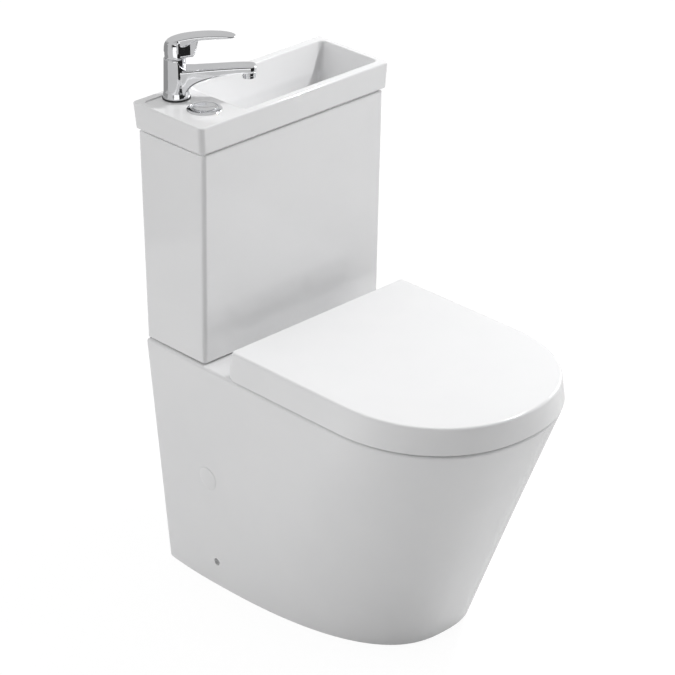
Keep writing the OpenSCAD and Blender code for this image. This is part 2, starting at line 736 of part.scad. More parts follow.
// Level of the cistern: fraction of its height and distance in from its outside
function cistern_level(t, inset) = let (half = cistern_w / 2 - 0.5 * (1 - t))
    rounded(inset - half, half - inset, inset - cistern_foot_d - (cistern_d - cistern_foot_d) * t,
        -cistern_back - inset, max(cistern_round - inset, 2));

module cistern() {
    from_wall() color(CERAMIC) difference() {
        skin([
            at_z(cistern_level(0, 4), cistern_z),
            at_z(cistern_level(0, 1.2), cistern_z + 1.4),
            at_z(cistern_level(0.01, 0), cistern_z + 5),
            at_z(cistern_level(1, 0), cistern_top)]);
        skin([
            at_z(cistern_level(cistern_floor / cistern_h, cistern_wall), floor_z),
            at_z(cistern_level(1, cistern_wall), cistern_top + eps)]);
        translate([0, -valve_back, cistern_z - eps])
            cylinder(r = valve_tail_r + 1, h = cistern_floor + 2 * eps);
        bolt_places() translate([0, 0, cistern_z - eps])
            cylinder(r = bolt_d / 2 + 1, h = cistern_floor + 2 * eps);
        inlet_places() translate([0, 0, cistern_z - eps])
            cylinder(r = inlet_r + 0.6, h = cistern_floor + 2 * eps);
    }
}

module coupling_ring() {
    from_wall() color(RUBBER) translate([0, -valve_back, 0])
        ring(socket_r - 4, valve_tail_r + clear, socket_z, nut_z);
}

module cistern_bolts() {
    from_wall() color(CHROME) bolt_places() {
        translate([0, 0, deck_under - 25]) cylinder(d = bolt_d, h = floor_z + washer_t - deck_under + 25);
        translate([0, 0, floor_z + washer_t]) cylinder(r = bolt_d * 0.9, h = bolt_d * 0.7, $fn = 6);
    }
}

module cistern_bolt_washers() {
    from_wall() color(RUBBER) bolt_places()
        ring(bolt_d / 2 + 8, bolt_d / 2 + run, floor_z, floor_z + washer_t);
}

module cistern_wing_nuts() {
    from_wall() color(PLASTIC) bolt_places() rotate([0, 0, 90])
        wing_nut(bolt_d / 2 + run, deck_under - nut_t - 2, deck_under, 34);
}

module at_valve() {
    translate([0, -valve_back, 0]) children();
}

module flush_valve_body() {
    cage_z = flange_z + flange_t;
    from_wall() color(PLASTIC) at_valve() {
        ring(valve_tail_r, valve_bore_r, socket_z + 3, flange_z + eps);
        ring(valve_tail_r + 13, valve_seat_r, flange_z, cage_z);
        difference() {
            ring(cage_r, cage_r - cage_wall, cage_z - eps, cage_z + cage_h);
            for (a = [45:90:315]) rotate([0, 0, a]) translate([cage_r / 2, -15, cage_z + 6])
                cube([cage_r, 30, 45]);
        }
        ring(cage_r, core_r + clear, cage_z + cage_h - eps, cage_top);
    }
}

module flush_valve_core() {
    from_wall() color("steelblue") at_valve() {
        ring(valve_seal_r, core_r - core_wall, core_rest_z, core_rest_z + 3.5);
        ring(core_skirt_r, core_skirt_r - 3, core_rest_z + 3, core_rest_z + 50);
        ring(core_r, core_r - core_wall, core_rest_z, core_rest_z + cage_h + 36);
    }
}

module flush_valve_seal() {
    from_wall() color(RUBBER) at_valve()
        ring(valve_seal_r, valve_seat_r - 1, flange_z + flange_t, core_rest_z);
}

module flush_valve_washer() {
    from_wall() color(RUBBER) at_valve()
        ring(valve_tail_r + 12, valve_tail_r + clear, floor_z, flange_z);
}

module flush_valve_nut() {
    from_wall() color(PLASTIC) at_valve() hex_nut(84, valve_tail_r + run, nut_z, cistern_z);
}

// Tail of a water inlet, with a shallow relief where it passes the nut and the cistern's floor
module inlet_spigot() {
    translate([0, 0, inlet_tail_z]) cylinder(r = inlet_r, h = nut_z - inlet_tail_z - 1);
    translate([0, 0, inlet_tail_z + 1]) cylinder(r = inlet_r - 0.2, h = flange_z - inlet_tail_z);
}

module fill_valve_body() {
    from_wall() color(PLASTIC) translate([fill_x, -valve_back, 0]) difference() {
        union() {
            inlet_spigot();
            translate([0, 0, flange_z]) cylinder(r = inlet_flange_r, h = flange_t);
            translate([0, 0, flange_z]) cylinder(r = column_r, h = column_top - flange_z);
            translate([0, 0, float_z - 3]) cylinder(r = column_r + 3, h = 3 - clear);
            translate([0, 0, column_top - eps]) cylinder(r = column_r + 8, h = 17);
        }
        translate([0, 0, inlet_tail_z - eps]) cylinder(r = 5, h = column_top - inlet_tail_z);
    }
}

module fill_valve_cap() {
    from_wall() color("steelblue") translate([fill_x, -valve_back, column_top + 17 - eps])
        cylinder(r = column_r + 9, h = 9);
}

module fill_valve_float() {
    from_wall() color("steelblue") translate([fill_x, -valve_back, 0])
        ring(float_r, column_r + clear, float_z, float_z + float_h);
}

module inlet_washers() {
    from_wall() color(RUBBER) inlet_places() ring(inlet_flange_r, inlet_r + clear, floor_z, flange_z);
}

module inlet_nuts() {
    from_wall() color(PLASTIC) inlet_places() hex_nut(30, inlet_r + run, nut_z, cistern_z);
}

module tap_inlets() {
    from_wall() color(CHROME) for (x = [hot_inlet_x, cold_inlet_x])
        translate([x, -tap_inlet_back, 0]) difference() {
            union() {
                inlet_spigot();
                translate([0, 0, flange_z]) cylinder(r = inlet_flange_r, h = flange_t, $fn = 6);
                translate([0, 0, flange_z]) cylinder(r = hose_r + 3, h = tap_inlet_h);
            }
            translate([0, 0, inlet_tail_z - eps])
                cylinder(r = 4, h = flange_z + tap_inlet_h - inlet_tail_z + 2 * eps);
        }
}

module tap_hoses() {
    from_wall() color("lightgray") for (route = [hot_route, cold_route]) skin(tube(route, hose_r, 12));
}

// ---- Basin ----

function basin_level(inset, back_inset) = rounded(inset - basin_w / 2, basin_w / 2 - inset,
    inset - basin_d, -back_inset, 9, 5);
function bowl_level(z, grow, r) = rounded(lookup(z, bowl_left_x) - grow * 1.3, lookup(z, bowl_right_x) + grow,
    lookup(z, bowl_front_y) - grow, lookup(z, bowl_back_y) + grow, r, 5);

// Bowl of the basin, with a rounded foot; grow is the wall added round it
module basin_bowl(grow, top) {
    floor = bowl_floor - grow;
    skin([
        for (a = [0:22.5:90]) let (d = bowl_round * (1 - sin(a)), z = floor + bowl_round * (1 - cos(a)))
            at_z(bowl_level(max(z, bowl_floor), grow - d, bowl_round), z),
        at_z(bowl_level(basin_z, grow, bowl_round), basin_z),
        at_z(bowl_level(min(top, basin_top), grow, bowl_round), top)]);
}

module at_waste() {
    translate([waste_x, waste_y, 0]) children();
}

module at_tap() {
    translate([tap_x, -tap_back, deck_z]) rotate([0, 0, -tap_angle]) children();
}

module at_button() {
    translate([tap_x, -button_back, 0]) children();
}

module basin() {
    deck_end = 20 - basin_bowl_left;
    from_wall() color(CERAMIC) difference() {
        union() {
            difference() {
                skin([
                    at_z(basin_level(basin_draft + 1.5, 0), basin_z),
                    at_z(basin_level(basin_draft, 0), basin_z + 2),
                    at_z(basin_level(0, 0), basin_top - 3),
                    at_z(basin_level(0.8, 0.8), basin_top - 0.8),
                    at_z(basin_level(3, 3), basin_top)]);
                translate([0, 0, basin_z - eps]) linear_extrude(deck_low - basin_z + eps)
                    polygon(basin_level(skirt_wall, skirt_wall));
            }
            basin_bowl(basin_wall, deck_low + 2);
        }
        basin_bowl(0, basin_top + eps);
        translate([0, 0, deck_z]) linear_extrude(deck_drop + eps)
            polygon(rounded(basin_end_rim - basin_w / 2, deck_end, basin_rim - basin_d, -basin_rim, 8, 5));
        at_tap() translate([0, 0, -basin_deck_t - 5]) cylinder(r = tap_hole_r, h = basin_deck_t + 6);
        at_tap() cylinder(r = tap_foot_d / 2 + clear, h = deck_drop + eps);
        at_button() translate([0, 0, deck_low - eps]) cylinder(r = button_hole_r, h = basin_deck_t + 2);
        at_waste() translate([0, 0, bowl_floor - basin_wall - eps])
            cylinder(r = waste_r, h = basin_wall + 2 * eps);
    }
}

module waste_grate() {
    from_wall() color(CHROME) at_waste() {
        ring(waste_r + 5, waste_r - 3.5, bowl_floor, bowl_floor + 1.6);
        ring(waste_r - 0.4, waste_r - 3.5, bowl_floor - 37, bowl_floor + 1);
        difference() {
            translate([0, 0, bowl_floor - 2]) cylinder(r = waste_r - 3, h = 3);
            for (y = [-12:6:12]) translate([-13, y - 1.7, bowl_floor - 3])
                cube([26, 3.4, 5]);
        }
    }
}

module waste_seal() {
    from_wall() color(RUBBER) at_waste()
        ring(waste_r + 7, waste_r - 0.1, waste_seal_z, waste_seal_z + washer_t);
}

module waste_nut() {
    from_wall() color(PLASTIC) at_waste()
        hex_nut(54, waste_r - 0.2, waste_seal_z - nut_t, waste_seal_z);
}

module waste_tail() {
    from_wall() color(PLASTIC) at_waste() ring(waste_r - 3.8, waste_r - 6, bowl_floor - 60, bowl_floor - 15);
}

// ---- Flush button ----

module button_bezel() {
    from_wall() color(CHROME) at_button() {
        translate([0, 0, deck_z]) rotate_extrude() polygon([[bezel_bore_r, 0], [button_r, 0], [button_r, 1],
            [button_r - 1.2, bezel_t - 0.8], [button_r - 3.2, bezel_t], [bezel_bore_r + 1, bezel_t - 0.4],
            [bezel_bore_r, bezel_t - 1.1]]);
        ring(sleeve_r, bezel_bore_r, deck_z - 34, deck_z + 1);
    }
}

module button_nut() {
    from_wall() color(PLASTIC) at_button() ring(sleeve_r + 6, sleeve_r + run, deck_low - 8, deck_low);
}

module button_housing() {
    from_wall() color(PLASTIC) at_button() {
        ring(bezel_bore_r - run, button_face_r + clear, housing_z, deck_z + bezel_t - 1);
        translate([0, 0, housing_z]) cylinder(r = button_face_r + 1, h = housing_floor);
    }
}

// The buttons lie on the two sides of a split that runs parallel to the spout
module at_split() {
    at_button() rotate([0, 0, 90 - tap_angle]) children();
}

// One of the two buttons; side is 1 for the large one and -1 for the small one
module half_button(side) {
    translate([0, 0, button_z - button_t]) intersection() {
        cylinder(r = button_face_r, h = button_t);
        translate([side * (button_r + button_split), 0, button_t / 2])
            cube([2 * button_r, 2 * button_r, button_t], center = true);
    }
    translate([side * spring_x, 0, housing_z + housing_floor + 10])
        cylinder(r = stem_r, h = button_z - button_t - housing_z - housing_floor - 10 + eps);
}

module spring_solid() {
    ring(spring_r, spring_bore_r, housing_z + housing_floor, button_z - button_t);
}

module half_flush_button() {
    from_wall() color(CHROME) at_split() half_button(-1);
}

module full_flush_button() {
    from_wall() color(CHROME) at_split() half_button(1);
}

module half_flush_spring() {
    from_wall() color(CHROME) at_split() translate([-spring_x, 0, 0]) spring_solid();
}

module full_flush_spring() {
    from_wall() color(CHROME) at_split() translate([spring_x, 0, 0]) spring_solid();
}

module flush_cable() {
    from_wall() color("black") skin(tube(cable_route, cable_r, 8));
}

// ---- Tap ----

module tap_body() {
    foot_r = tap_foot_d / 2 - 0.6;
    from_wall() color(CHROME) at_tap() difference() {
        union() {
            rotate_extrude() polygon([[0, seal_t], [foot_r, seal_t], [foot_r, seal_t + 2],
                [foot_r - 1.6, seal_t + 9], [tap_top_r, tap_body_h], [0, tap_body_h]]);
            skin([for (s = spout_sections) section(s[0], s[1], s[2], s[3], 3.4)]);
        }
        translate([0, 0, cartridge_z]) cylinder(r = cartridge_r + 0.2, h = tap_body_h);
        translate([0, 0, collar_low]) cylinder(r = collar_skirt_r + 0.2, h = tap_body_h);
        translate([0, tap_foot_d, 0]) rotate([90, 0, 0]) linear_extrude(2 * tap_foot_d) polygon(scoop);
        translate([0, 0, spout_low + 4.3]) rotate([0, 90, 0])
            cylinder(r = channel_in_spout_r, h = spout_reach);
        translate([spout_reach, 0, spout_low - eps]) cylinder(r = aerator_r - 1.7, h = 6 + eps);
        translate([0, tap_stud_y, seal_t - eps]) cylinder(r = tap_stud_r, h = 7.5);
    }
}

module tap_foot_seal() {
    from_wall() color(RUBBER) at_tap() ring(tap_foot_d / 2, tap_hole_r, 0, seal_t);
}

module aerator_housing() {
    from_wall() color(CHROME) at_tap() translate([spout_reach, 0, 0]) {
        ring(aerator_r, aerator_r - 2, aerator_z, spout_low - 0.1);
        ring(aerator_r - 1.8, aerator_r - 3, spout_low - 1, spout_low + 5);
    }
}

module aerator_insert() {
    from_wall() color(PLASTIC) at_tap() translate([spout_reach, 0, aerator_z + 0.6]) difference() {
        cylinder(r = aerator_r - 2.2, h = spout_low - aerator_z - 2);
        for (a = [0:60:300]) rotate([0, 0, a]) translate([5, 0, -eps])
            cylinder(r = 1.5, h = spout_low - aerator_z);
    }
}

module cartridge() {
    from_wall() color("steelblue") at_tap() translate([0, 0, cartridge_z])
        cylinder(r = cartridge_r, h = cartridge_h);
}

module cartridge_nut() {
    from_wall() color("gold") at_tap()
        ring(cartridge_r, 9.5, cartridge_z + cartridge_h, tap_body_h - 0.2);
}

module tap_collar() {
    skirt_top = tap_body_h + 0.4;
    from_wall() color(CHROME) at_tap() {
        difference() {
            translate([0, 0, pivot_h]) sphere(r = collar_r);
            translate([0, 0, pivot_h]) sphere(r = collar_r - collar_wall);
            translate([0, 0, skirt_top - 0.3 - collar_r]) cylinder(r = 2 * collar_r, h = collar_r);
            translate([0, 0, pivot_h]) cylinder(r = collar_hole_r, h = 2 * collar_r);
        }
        ring(collar_skirt_r, cartridge_r + 0.1, collar_low + 0.2, skirt_top);
    }
}

module tap_carrier() {
    from_wall() color("steelblue") at_tap() difference() {
        union() {
            translate([0, 0, cartridge_z + cartridge_h + clear])
                cylinder(r = 8.5, h = pivot_h - 3 - cartridge_z - cartridge_h - clear);
            for (side = [-1, 1]) translate([-4, side * 6.3 - 1.7, pivot_h - 3.5]) cube([8, 3.4, 7.5]);
        }
        translate([0, 10, pivot_h]) rotate([90, 0, 0]) cylinder(r = 2, h = 20);
    }
}

module tap_pivot_pin() {
    from_wall() color(CHROME) at_tap() translate([0, 8, pivot_h]) rotate([90, 0, 0])
        cylinder(r = 2, h = 16);
}

module tap_spindle() {
    from_wall() color("gold") at_tap() difference() {
        translate([-3.4, -4.2, pivot_h - 1.6]) cube([6.8, 8.4, spindle_h]);
        translate([0, 10, pivot_h]) rotate([90, 0, 0]) cylinder(r = 2 + run, h = 20);
    }
}

module tap_handle() {
    seam = atan(handle_tilt / (2 * handle_r));
    from_wall() color(CHROME) at_tap() difference() {
        union() {
            rotate_extrude() polygon([[0, handle_rest - 4], [handle_r, handle_rest - 4],
                [handle_r - 0.2, tap_h - 20], [handle_r - 1.2, tap_h - 15.5], [handle_r - 3.8, tap_h - 12],
                [handle_r - 8, tap_h - 10], [0, tap_h - 9]]);
            skin([for (s = lever_sections) section(s[0], tap_h + s[1], tap_h + s[2], s[3], 2)]);
            skin([for (s = neck_sections) section(s[0], tap_h + s[1], tap_h + s[2], s[3], 4)]);
        }
        translate([0, 0, pivot_h]) sphere(r = collar_r + 0.5);
        translate([0, 0, handle_rest + handle_tilt / 2]) rotate([0, seam, 0])
            translate([-40, -40, -60]) cube([80, 80, 60]);
        translate([-3.5, -4.3, pivot_h]) cube([7, 8.6, spindle_h - 1.5]);
        translate([0, 0, screw_h]) rotate([0, 90, 0]) cylinder(r = screw_r, h = 2 * neck_reach);
    }
}

module handle_screw() {
    from_wall() color(CHROME) at_tap() translate([3.5, 0, screw_h]) rotate([0, 90, 0])
        cylinder(r = screw_r - 0.1, h = 8);
}

module temperature_plug() {
    from_wall() color("firebrick") at_tap() translate([neck_reach - plug_t, 0, screw_h]) rotate([0, 90, 0])
        cylinder(r = screw_r - 0.1, h = plug_t);
}

module tap_stud() {
    from_wall() color(CHROME) at_tap() translate([0, tap_stud_y, 0]) {
        translate([0, 0, clamp_z - 18]) cylinder(r = tap_stud_r, h = seal_t + 7 + 18 - clamp_z);
        translate([0, 0, clamp_z - 6]) cylinder(r = 6.5, h = 6, $fn = 6);
    }
}

module tap_clamp() {
    from_wall() color(CHROME) at_tap() difference() {
        translate([0, 0, clamp_z]) cylinder(r = 21, h = 3);
        translate([-15, -7, clamp_z - eps]) cube([50, 14, 4]);
        translate([0, tap_stud_y, clamp_z - eps]) cylinder(r = tap_stud_r + clear, h = 4);
    }
}

pan_body();
pan_bowl();
pan_trap();
flush_channel();
side_caps();
seat_ring();
seat_lid();
hinge_posts();
hinge_pins();
soft_close_dampers();
hinge_studs();
hinge_washers();
hinge_wing_nuts();
seat_buffers();
lid_buffers();
cistern();
coupling_ring();
cistern_bolts();
cistern_bolt_washers();
cistern_wing_nuts();
flush_valve_body();
flush_valve_core();
flush_valve_seal();
flush_valve_washer();
flush_valve_nut();
fill_valve_body();
fill_valve_cap();
fill_valve_float();
inlet_washers();
inlet_nuts();
tap_inlets();
tap_hoses();
button_bezel();
button_nut();
button_housing();
half_flush_button();
full_flush_button();
half_flush_spring();
full_flush_spring();
flush_cable();
basin();
waste_grate();
waste_seal();
waste_nut();
waste_tail();
tap_body();
tap_foot_seal();
aerator_housing();
aerator_insert();
cartridge();
cartridge_nut();
tap_collar();
tap_carrier();
tap_pivot_pin();
tap_spindle();
tap_handle();
handle_screw();
temperature_plug();
tap_stud();
tap_clamp();
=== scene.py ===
import json
from math import acos, atan, cos, pi, radians, sin, sqrt

import bmesh
import bpy
import numpy as np
from mathutils import Matrix, Vector


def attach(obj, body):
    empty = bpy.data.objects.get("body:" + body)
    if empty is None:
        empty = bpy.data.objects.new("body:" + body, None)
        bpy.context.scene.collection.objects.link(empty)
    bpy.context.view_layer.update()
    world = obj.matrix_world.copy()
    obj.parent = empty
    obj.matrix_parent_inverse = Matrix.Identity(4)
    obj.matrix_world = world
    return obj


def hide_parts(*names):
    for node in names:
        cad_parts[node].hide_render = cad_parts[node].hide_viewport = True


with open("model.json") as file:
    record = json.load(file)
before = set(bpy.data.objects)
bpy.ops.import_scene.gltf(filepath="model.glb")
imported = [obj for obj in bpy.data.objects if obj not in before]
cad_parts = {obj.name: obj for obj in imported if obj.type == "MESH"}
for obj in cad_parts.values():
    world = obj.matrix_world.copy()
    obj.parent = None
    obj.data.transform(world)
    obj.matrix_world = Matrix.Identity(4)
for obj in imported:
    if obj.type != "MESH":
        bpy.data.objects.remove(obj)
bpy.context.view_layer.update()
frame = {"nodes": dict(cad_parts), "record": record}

# Sizes and places are millimetres. y is counted from the wall, which is y = 0, and the front is -y.
MM = 0.001
WALL = 317.5

# Pan
PAN_H, PAN_D = 405, 634
RIM_W, RIM_BACK_W, RIM_STRAIGHT, RIM_POWER = 377, 367, 428, 2.15
FOOT_W, FOOT_BACK_W, FOOT_STRAIGHT, FOOT_D, FOOT_POWER = 319, 306, 100, 468, 2.6
PAN_WALL, DECK_T, BOWL_WALL = 12, 16, 9
BOWL_W, BOWL_BACK, BOWL_FRONT = 256, 262, 590
OUTLET_H, SPIGOT_R, SPIGOT_END, SPIGOT_LEN, SPIGOT_WALL = 180, 51, 95, 60, 7
TRAP_R, BOSS_R, DUCT_W, VALVE_HOLE_R, COUPLING_R, COUPLING_LOW = 28, 60, 62, 27, 50, PAN_H - 22
FIXING_R, FIXING_H, FIXING_BACK = 6, 46.5, 126
CAP_R, CAP_H, CAP_BACK = 19.5, 200, 122
DECK_UNDER = PAN_H - DECK_T
CHANNEL_R, CHANNEL_Z, SPREADER_H, SPREADER_STEP = 21, PAN_H - 55, 7, 12
INLETS = [(130, 72), (-130, 44), (-90, 44)]
INLET_NUT_R, DECK_BOLT_R = 18.5, 6

# Seat and lid
LID_Z, LID_TOP, LID_BACK, LID_D, LID_W, LID_TAPER, LID_WALL = 408, 450, 194.4, 635, 379.2, 10, 4.5
HINGE_R, HINGE_BACK, HINGE_Z = 19.6, 214, 427.1
HINGE_X, POST_W, KNUCKLE_R, KNUCKLE_W, LID_KNUCKLE_W, HINGE_GAP = 77.5, 22, 9, 21, 16, 0.4
POST_FOOT_R, LID_BORE_R, SEAT_BORE_R = 13, 4.05, 6.55
SEAT_Z, SEAT_T, SEAT_HOLE_W, SEAT_HOLE_L = 410, 19, 222, 290
SEAT_INSET, SEAT_GAP = 6.5, 6.5

# Cistern
CISTERN_Z, CISTERN_TOP, CISTERN_W = 408, 757, 365
CISTERN_D, CISTERN_FOOT_D, CISTERN_WALL, CISTERN_BACK, CISTERN_FLOOR = 149, 135.5, 8, 3, 12
VALVE_BACK, BOLT_X, OUTLET_HOLE_R, TANK_BOLT_R, INLET_HOLE_R = 72, 78, 32, 5, 10.9
REBATE_Z, REBATE_IN, REBATE_LIFT, REBATE_RUN = CISTERN_TOP - 5.5, 3.5, 1.6, 7
# Corner radii: back left, front left, front right, back right
CISTERN_CORNERS, INSIDE_CORNERS, BASIN_CORNERS = (3, 7, 3.5, 3), (14,) * 4, (4, 9, 4, 4)

# Basin
BASIN_Z, BASIN_TOP, BASIN_W, BASIN_D, BASIN_DRAFT = 757, 800, 380, 154, 2.3
RIM, END_RIM, BOWL_LEFT, BOWL_FLOOR, BASIN_WALL = 14.5, 8.5, 96, 705, 7
BOWL_CORNER, BASIN_RIM_R, BOWL_FLOOR_R, UNDER_WALL = 9, 3, 9, 10
DECK_Z, DECK_LOW, DECK_CORNER = 798.6, 788, 8
WASTE_X, WASTE_BACK, WASTE_R = 75, 79, 21

# Tap and button
TAP_X, TAP_BACK, TAP_ANGLE = -132, 33, 43
FOOT_SEAL_R, SEAL_T, BODY_H, BODY_TOP_R, TAP_H = 21.3, 2, 63.5, 17.2, 101
COLLAR_R, COLLAR_HOLE_R, SKIRT_R, COLLAR_LOW, PIVOT_H = 15.8, 11.5, 15.6, BODY_H - 19, BODY_H + 6
HANDLE_R, HANDLE_TILT, SCREW_H, SCREW_R = 17.3, 11, PIVOT_H + 14, 2.6
CARTRIDGE_R, CARTRIDGE_LOW, SPINDLE_W, SPINDLE_D, SPINDLE_H = 14, BODY_H - 27, 7, 8.6, 18.5
SPOUT_REACH, SPOUT_LOW, SPOUT_TOP, AERATOR_R, AERATOR_Z = 108, 40.2, 51.5, 10.4, 31
TAP_HOLE_R, BUTTON_HOLE_R, MELT_VOXEL = 17, 23.5, 0.6
BUTTON_BACK, BUTTON_R, BEZEL_T, BEZEL_BORE_R, SLEEVE_R, SLEEVE_LEN = 96, 26.5, 3, 20.4, 22.5, 34
FACE_R, FACE_T, FACE_UP, STEM_R, STEM_X, STEM_LEN = 18.2, 7, 0.8, 3, 8.5, 49


# ---- Meshes ----

def make(name, points, faces):
    """A mesh object from points in millimetres."""
    mesh = bpy.data.meshes.new(name)
    placed = (np.asarray(points, float) + [0, WALL, 0]) * MM
    mesh.from_pydata(placed.tolist(), [], faces)
    obj = bpy.data.objects.new(name, mesh)
    bpy.context.scene.collection.objects.link(obj)
    bm = bmesh.new()
    bm.from_mesh(mesh)
    bmesh.ops.recalc_face_normals(bm, faces=bm.faces)
    bm.to_mesh(mesh)
    bm.free()
    return obj


def loft(name, rings, closed=False):
    """A solid through rings of equally many points; closed joins the last ring to the first."""
    count, n = len(rings), len(rings[0])
    faces = []
    for k in range(count if closed else count - 1):
        a, b = k * n, (k + 1) % count * n
        for i in range(n):
            j = (i + 1) % n
            faces.append((a + i, a + j, b + j, b + i))
    if not closed:
        faces.append(tuple(range(n))[::-1])
        faces.append(tuple((count - 1) * n + i for i in range(n)))
    return make(name, np.concatenate([np.asarray(r, float) for r in rings]), faces)


def lathe(name, profile, centre=(0, 0, 0), turn=None, sides=96):
    """A solid of revolution about +Z through centre, from (radius, height) points; turn tilts it.

    A profile that starts and ends on the axis has flat ends there; any other one is a ring.
    """
    solid = profile[0][0] == 0
    rings = []
    for r, z in profile[1:-1] if solid else profile:
        ring = np.array([[r * cos(a), r * sin(a), z] for a in np.linspace(0, 2 * pi, sides, endpoint=False)])
        if turn is not None:
            ring = np.array([list(turn @ Vector(p)) for p in ring])
        rings.append(ring + np.asarray(centre, float))
    return loft(name, rings, closed=not solid)


def baked(obj):
    """Applies every modifier of an object."""
    graph = bpy.context.evaluated_depsgraph_get()
    mesh = bpy.data.meshes.new_from_object(obj.evaluated_get(graph))
    old = obj.data
    obj.modifiers.clear()
    obj.data = mesh
    bpy.data.meshes.remove(old)
    return obj


def combine(obj, operation, *others):
    """Cuts objects off one object or joins them to it, and removes them."""
    for other in others:
        step = obj.modifiers.new(operation, "BOOLEAN")
        step.operation, step.object, step.solver = operation, other, "MANIFOLD"
        baked(obj)
        bpy.data.objects.remove(other)
    return obj


def cut(obj, *others):
    return combine(obj, "DIFFERENCE", *others)


def join(obj, *others):
    return combine(obj, "UNION", *others)


def drill(obj, x, back, z0, z1, radius, sides=64):
    """An upright round hole."""
    return cut(obj, lathe("drill", disc(radius, z0, z1), (x, -back, 0), sides=sides))


def disc(radius, z0, z1):
    """Profile of a plain disc or rod."""
    return [(0, z0), (radius, z0), (radius, z1), (0, z1)]


def melt(obj, voxel, rounds, factor=0.5):
    """Fuses an object into one cast skin and softens its corners."""
    remesh = obj.modifiers.new("remesh", "REMESH")
    remesh.mode, remesh.voxel_size = "VOXEL", voxel * MM
    baked(obj)
    soften = obj.modifiers.new("soften", "SMOOTH")
    soften.factor, soften.iterations = factor, rounds
    return baked(obj)


def finish_piece(obj, body, material, nodes, sharp_angle=35):
    """Shades a piece, gives it its material, puts it on its body and hides the CAD nodes it stands for."""
    mesh = obj.data
    mesh.shade_smooth()
    mesh.set_sharp_from_angle(angle=radians(sharp_angle))
    even = obj.modifiers.new("even", "WEIGHTED_NORMAL")
    even.keep_sharp = True
    baked(obj)
    obj.data.materials.clear()
    obj.data.materials.append(material)
    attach(obj, body)
    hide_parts(*nodes)


# ---- Outlines ----

def side_w(u, back_w, full_w):
    """Width at a share u of the way from the back to where the round front starts."""
    return back_w + (full_w - back_w) * (1 - (1 - u) ** 2)


def outline(back, back_w, full_w, straight, depth, power, side_n=16, front_n=96, back_n=16, corner=0.0):
    """Outline with a straight back edge and a round front, anticlockwise from the back's left end."""
    left = [(-side_w(u, back_w, full_w) / 2, -back - (straight - back) * u)
            for u in np.arange(side_n) / side_n]
    front = []
    for i in range(front_n + 1):
        c, s = cos(pi * i / front_n), sin(pi * i / front_n)
        x = -full_w / 2 * np.sign(c) * abs(c) ** (2 / power)
        front.append((x, -straight - (depth - straight) * max(s, 0) ** (2 / power)))
    right = [(-x, y) for x, y in reversed(left)]
    if corner:
        left = turned_corner(left, corner, 1)
        right = turned_corner(right[::-1], corner, -1)[::-1]
    half = back_w / 2 - corner
    edge = [(half - 2 * half * (i + 1) / back_n, -back) for i in range(back_n - 1)]
    return np.array(left + front + right + edge)


def turned_corner(side, corner, sign, steps=5):
    """Rounds the end of a side where it meets the back."""
    x0, y0 = side[0]
    arc = [(x0 + sign * corner * (1 - sin(a)), y0 - corner * (1 - cos(a)))
           for a in np.linspace(0, pi / 2, steps + 1)]
    return arc + [p for p in side[1:] if p[1] < y0 - corner * 1.5]


def inset(ring, d):
    """A closed ring moved inwards by d, with its edges kept parallel."""
    before, after = np.roll(ring, 1, 0), np.roll(ring, -1, 0)
    e1, e2 = ring - before, after - ring
    n1 = np.stack([-e1[:, 1], e1[:, 0]], 1) / np.linalg.norm(e1, axis=1)[:, None]
    n2 = np.stack([-e2[:, 1], e2[:, 0]], 1) / np.linalg.norm(e2, axis=1)[:, None]
    share = np.maximum(1 + (n1 * n2).sum(1), 0.3)[:, None]
    return ring + (n1 + n2) / share * d


def at_z(ring, z):
    """Flat points, put at a height."""
    return np.column_stack([ring, np.full(len(ring), float(z))])


def rounded(x0, x1, y0, y1, radius, corner_n=8, side_n=6):
    """Rectangle with rounded corners, anticlockwise, with points along its sides too.

    The radius is one for all corners, or four: back left, front left, front right, back right.
    """
    radii = radius if isinstance(radius, tuple) else (radius,) * 4
    corners = []
    for r, x, y, start in zip(radii, (x0, x0, x1, x1), (y1, y0, y0, y1), (90, 180, 270, 0)):
        cx, cy = x + (r if x == x0 else -r), y + (r if y == y0 else -r)
        corners.append([(cx + r * cos(radians(start + 90 * i / corner_n)),
                         cy + r * sin(radians(start + 90 * i / corner_n))) for i in range(corner_n + 1)])
    ring = []
    for k in range(4):
        ring += corners[k]
        a, b = np.array(corners[k][-1]), np.array(corners[(k + 1) % 4][0])
        ring += [tuple(a + (b - a) * i / side_n) for i in range(1, side_n)]
    return np.array(ring)


def through(keys, steps):
    """Rows on a smooth curve through key rows, with equal steps between them."""
    keys = np.asarray(keys, float)
    rows = []
    for i in range(len(keys) - 1):
        a, b, c, d = keys[max(i - 1, 0)], keys[i], keys[i + 1], keys[min(i + 2, len(keys) - 1)]
        for j in range(steps):
            t = j / steps
            rows.append(0.5 * (2 * b + (c - a) * t + (2 * a - 5 * b + 4 * c - d) * t ** 2
                               + (3 * b - a - 3 * c + d) * t ** 3))
    rows.append(keys[-1])
    return np.array(rows)


def quarter(r, steps=6):
    """Pairs (in, up) along a rounded edge, from its upright side to its flat top."""
    return [(r * (1 - cos(a)), r * sin(a)) for a in np.linspace(0, pi / 2, steps + 1)]


def pipe(name, route, radius, sides=32):
    """A round bar along a route."""
    route = np.asarray(route, float)
    rings = []
    for i, p in enumerate(route):
        t = route[min(i + 1, len(route) - 1)] - route[max(i - 1, 0)]
        t = t / np.linalg.norm(t)
        u = np.cross(t, [1, 0, 0] if abs(t[0]) < 0.9 else [0, 1, 0])
        u = u / np.linalg.norm(u)
        v = np.cross(t, u)
        rings.append([p + radius * (u * cos(a) + v * sin(a))
                      for a in np.linspace(0, 2 * pi, sides, endpoint=False)])
    return loft(name, rings)


# ---- Materials ----

def node_of(tree, kind, **values):
    made = tree.nodes.new(kind)
    for key, value in values.items():
        setattr(made, key, value)
    return made


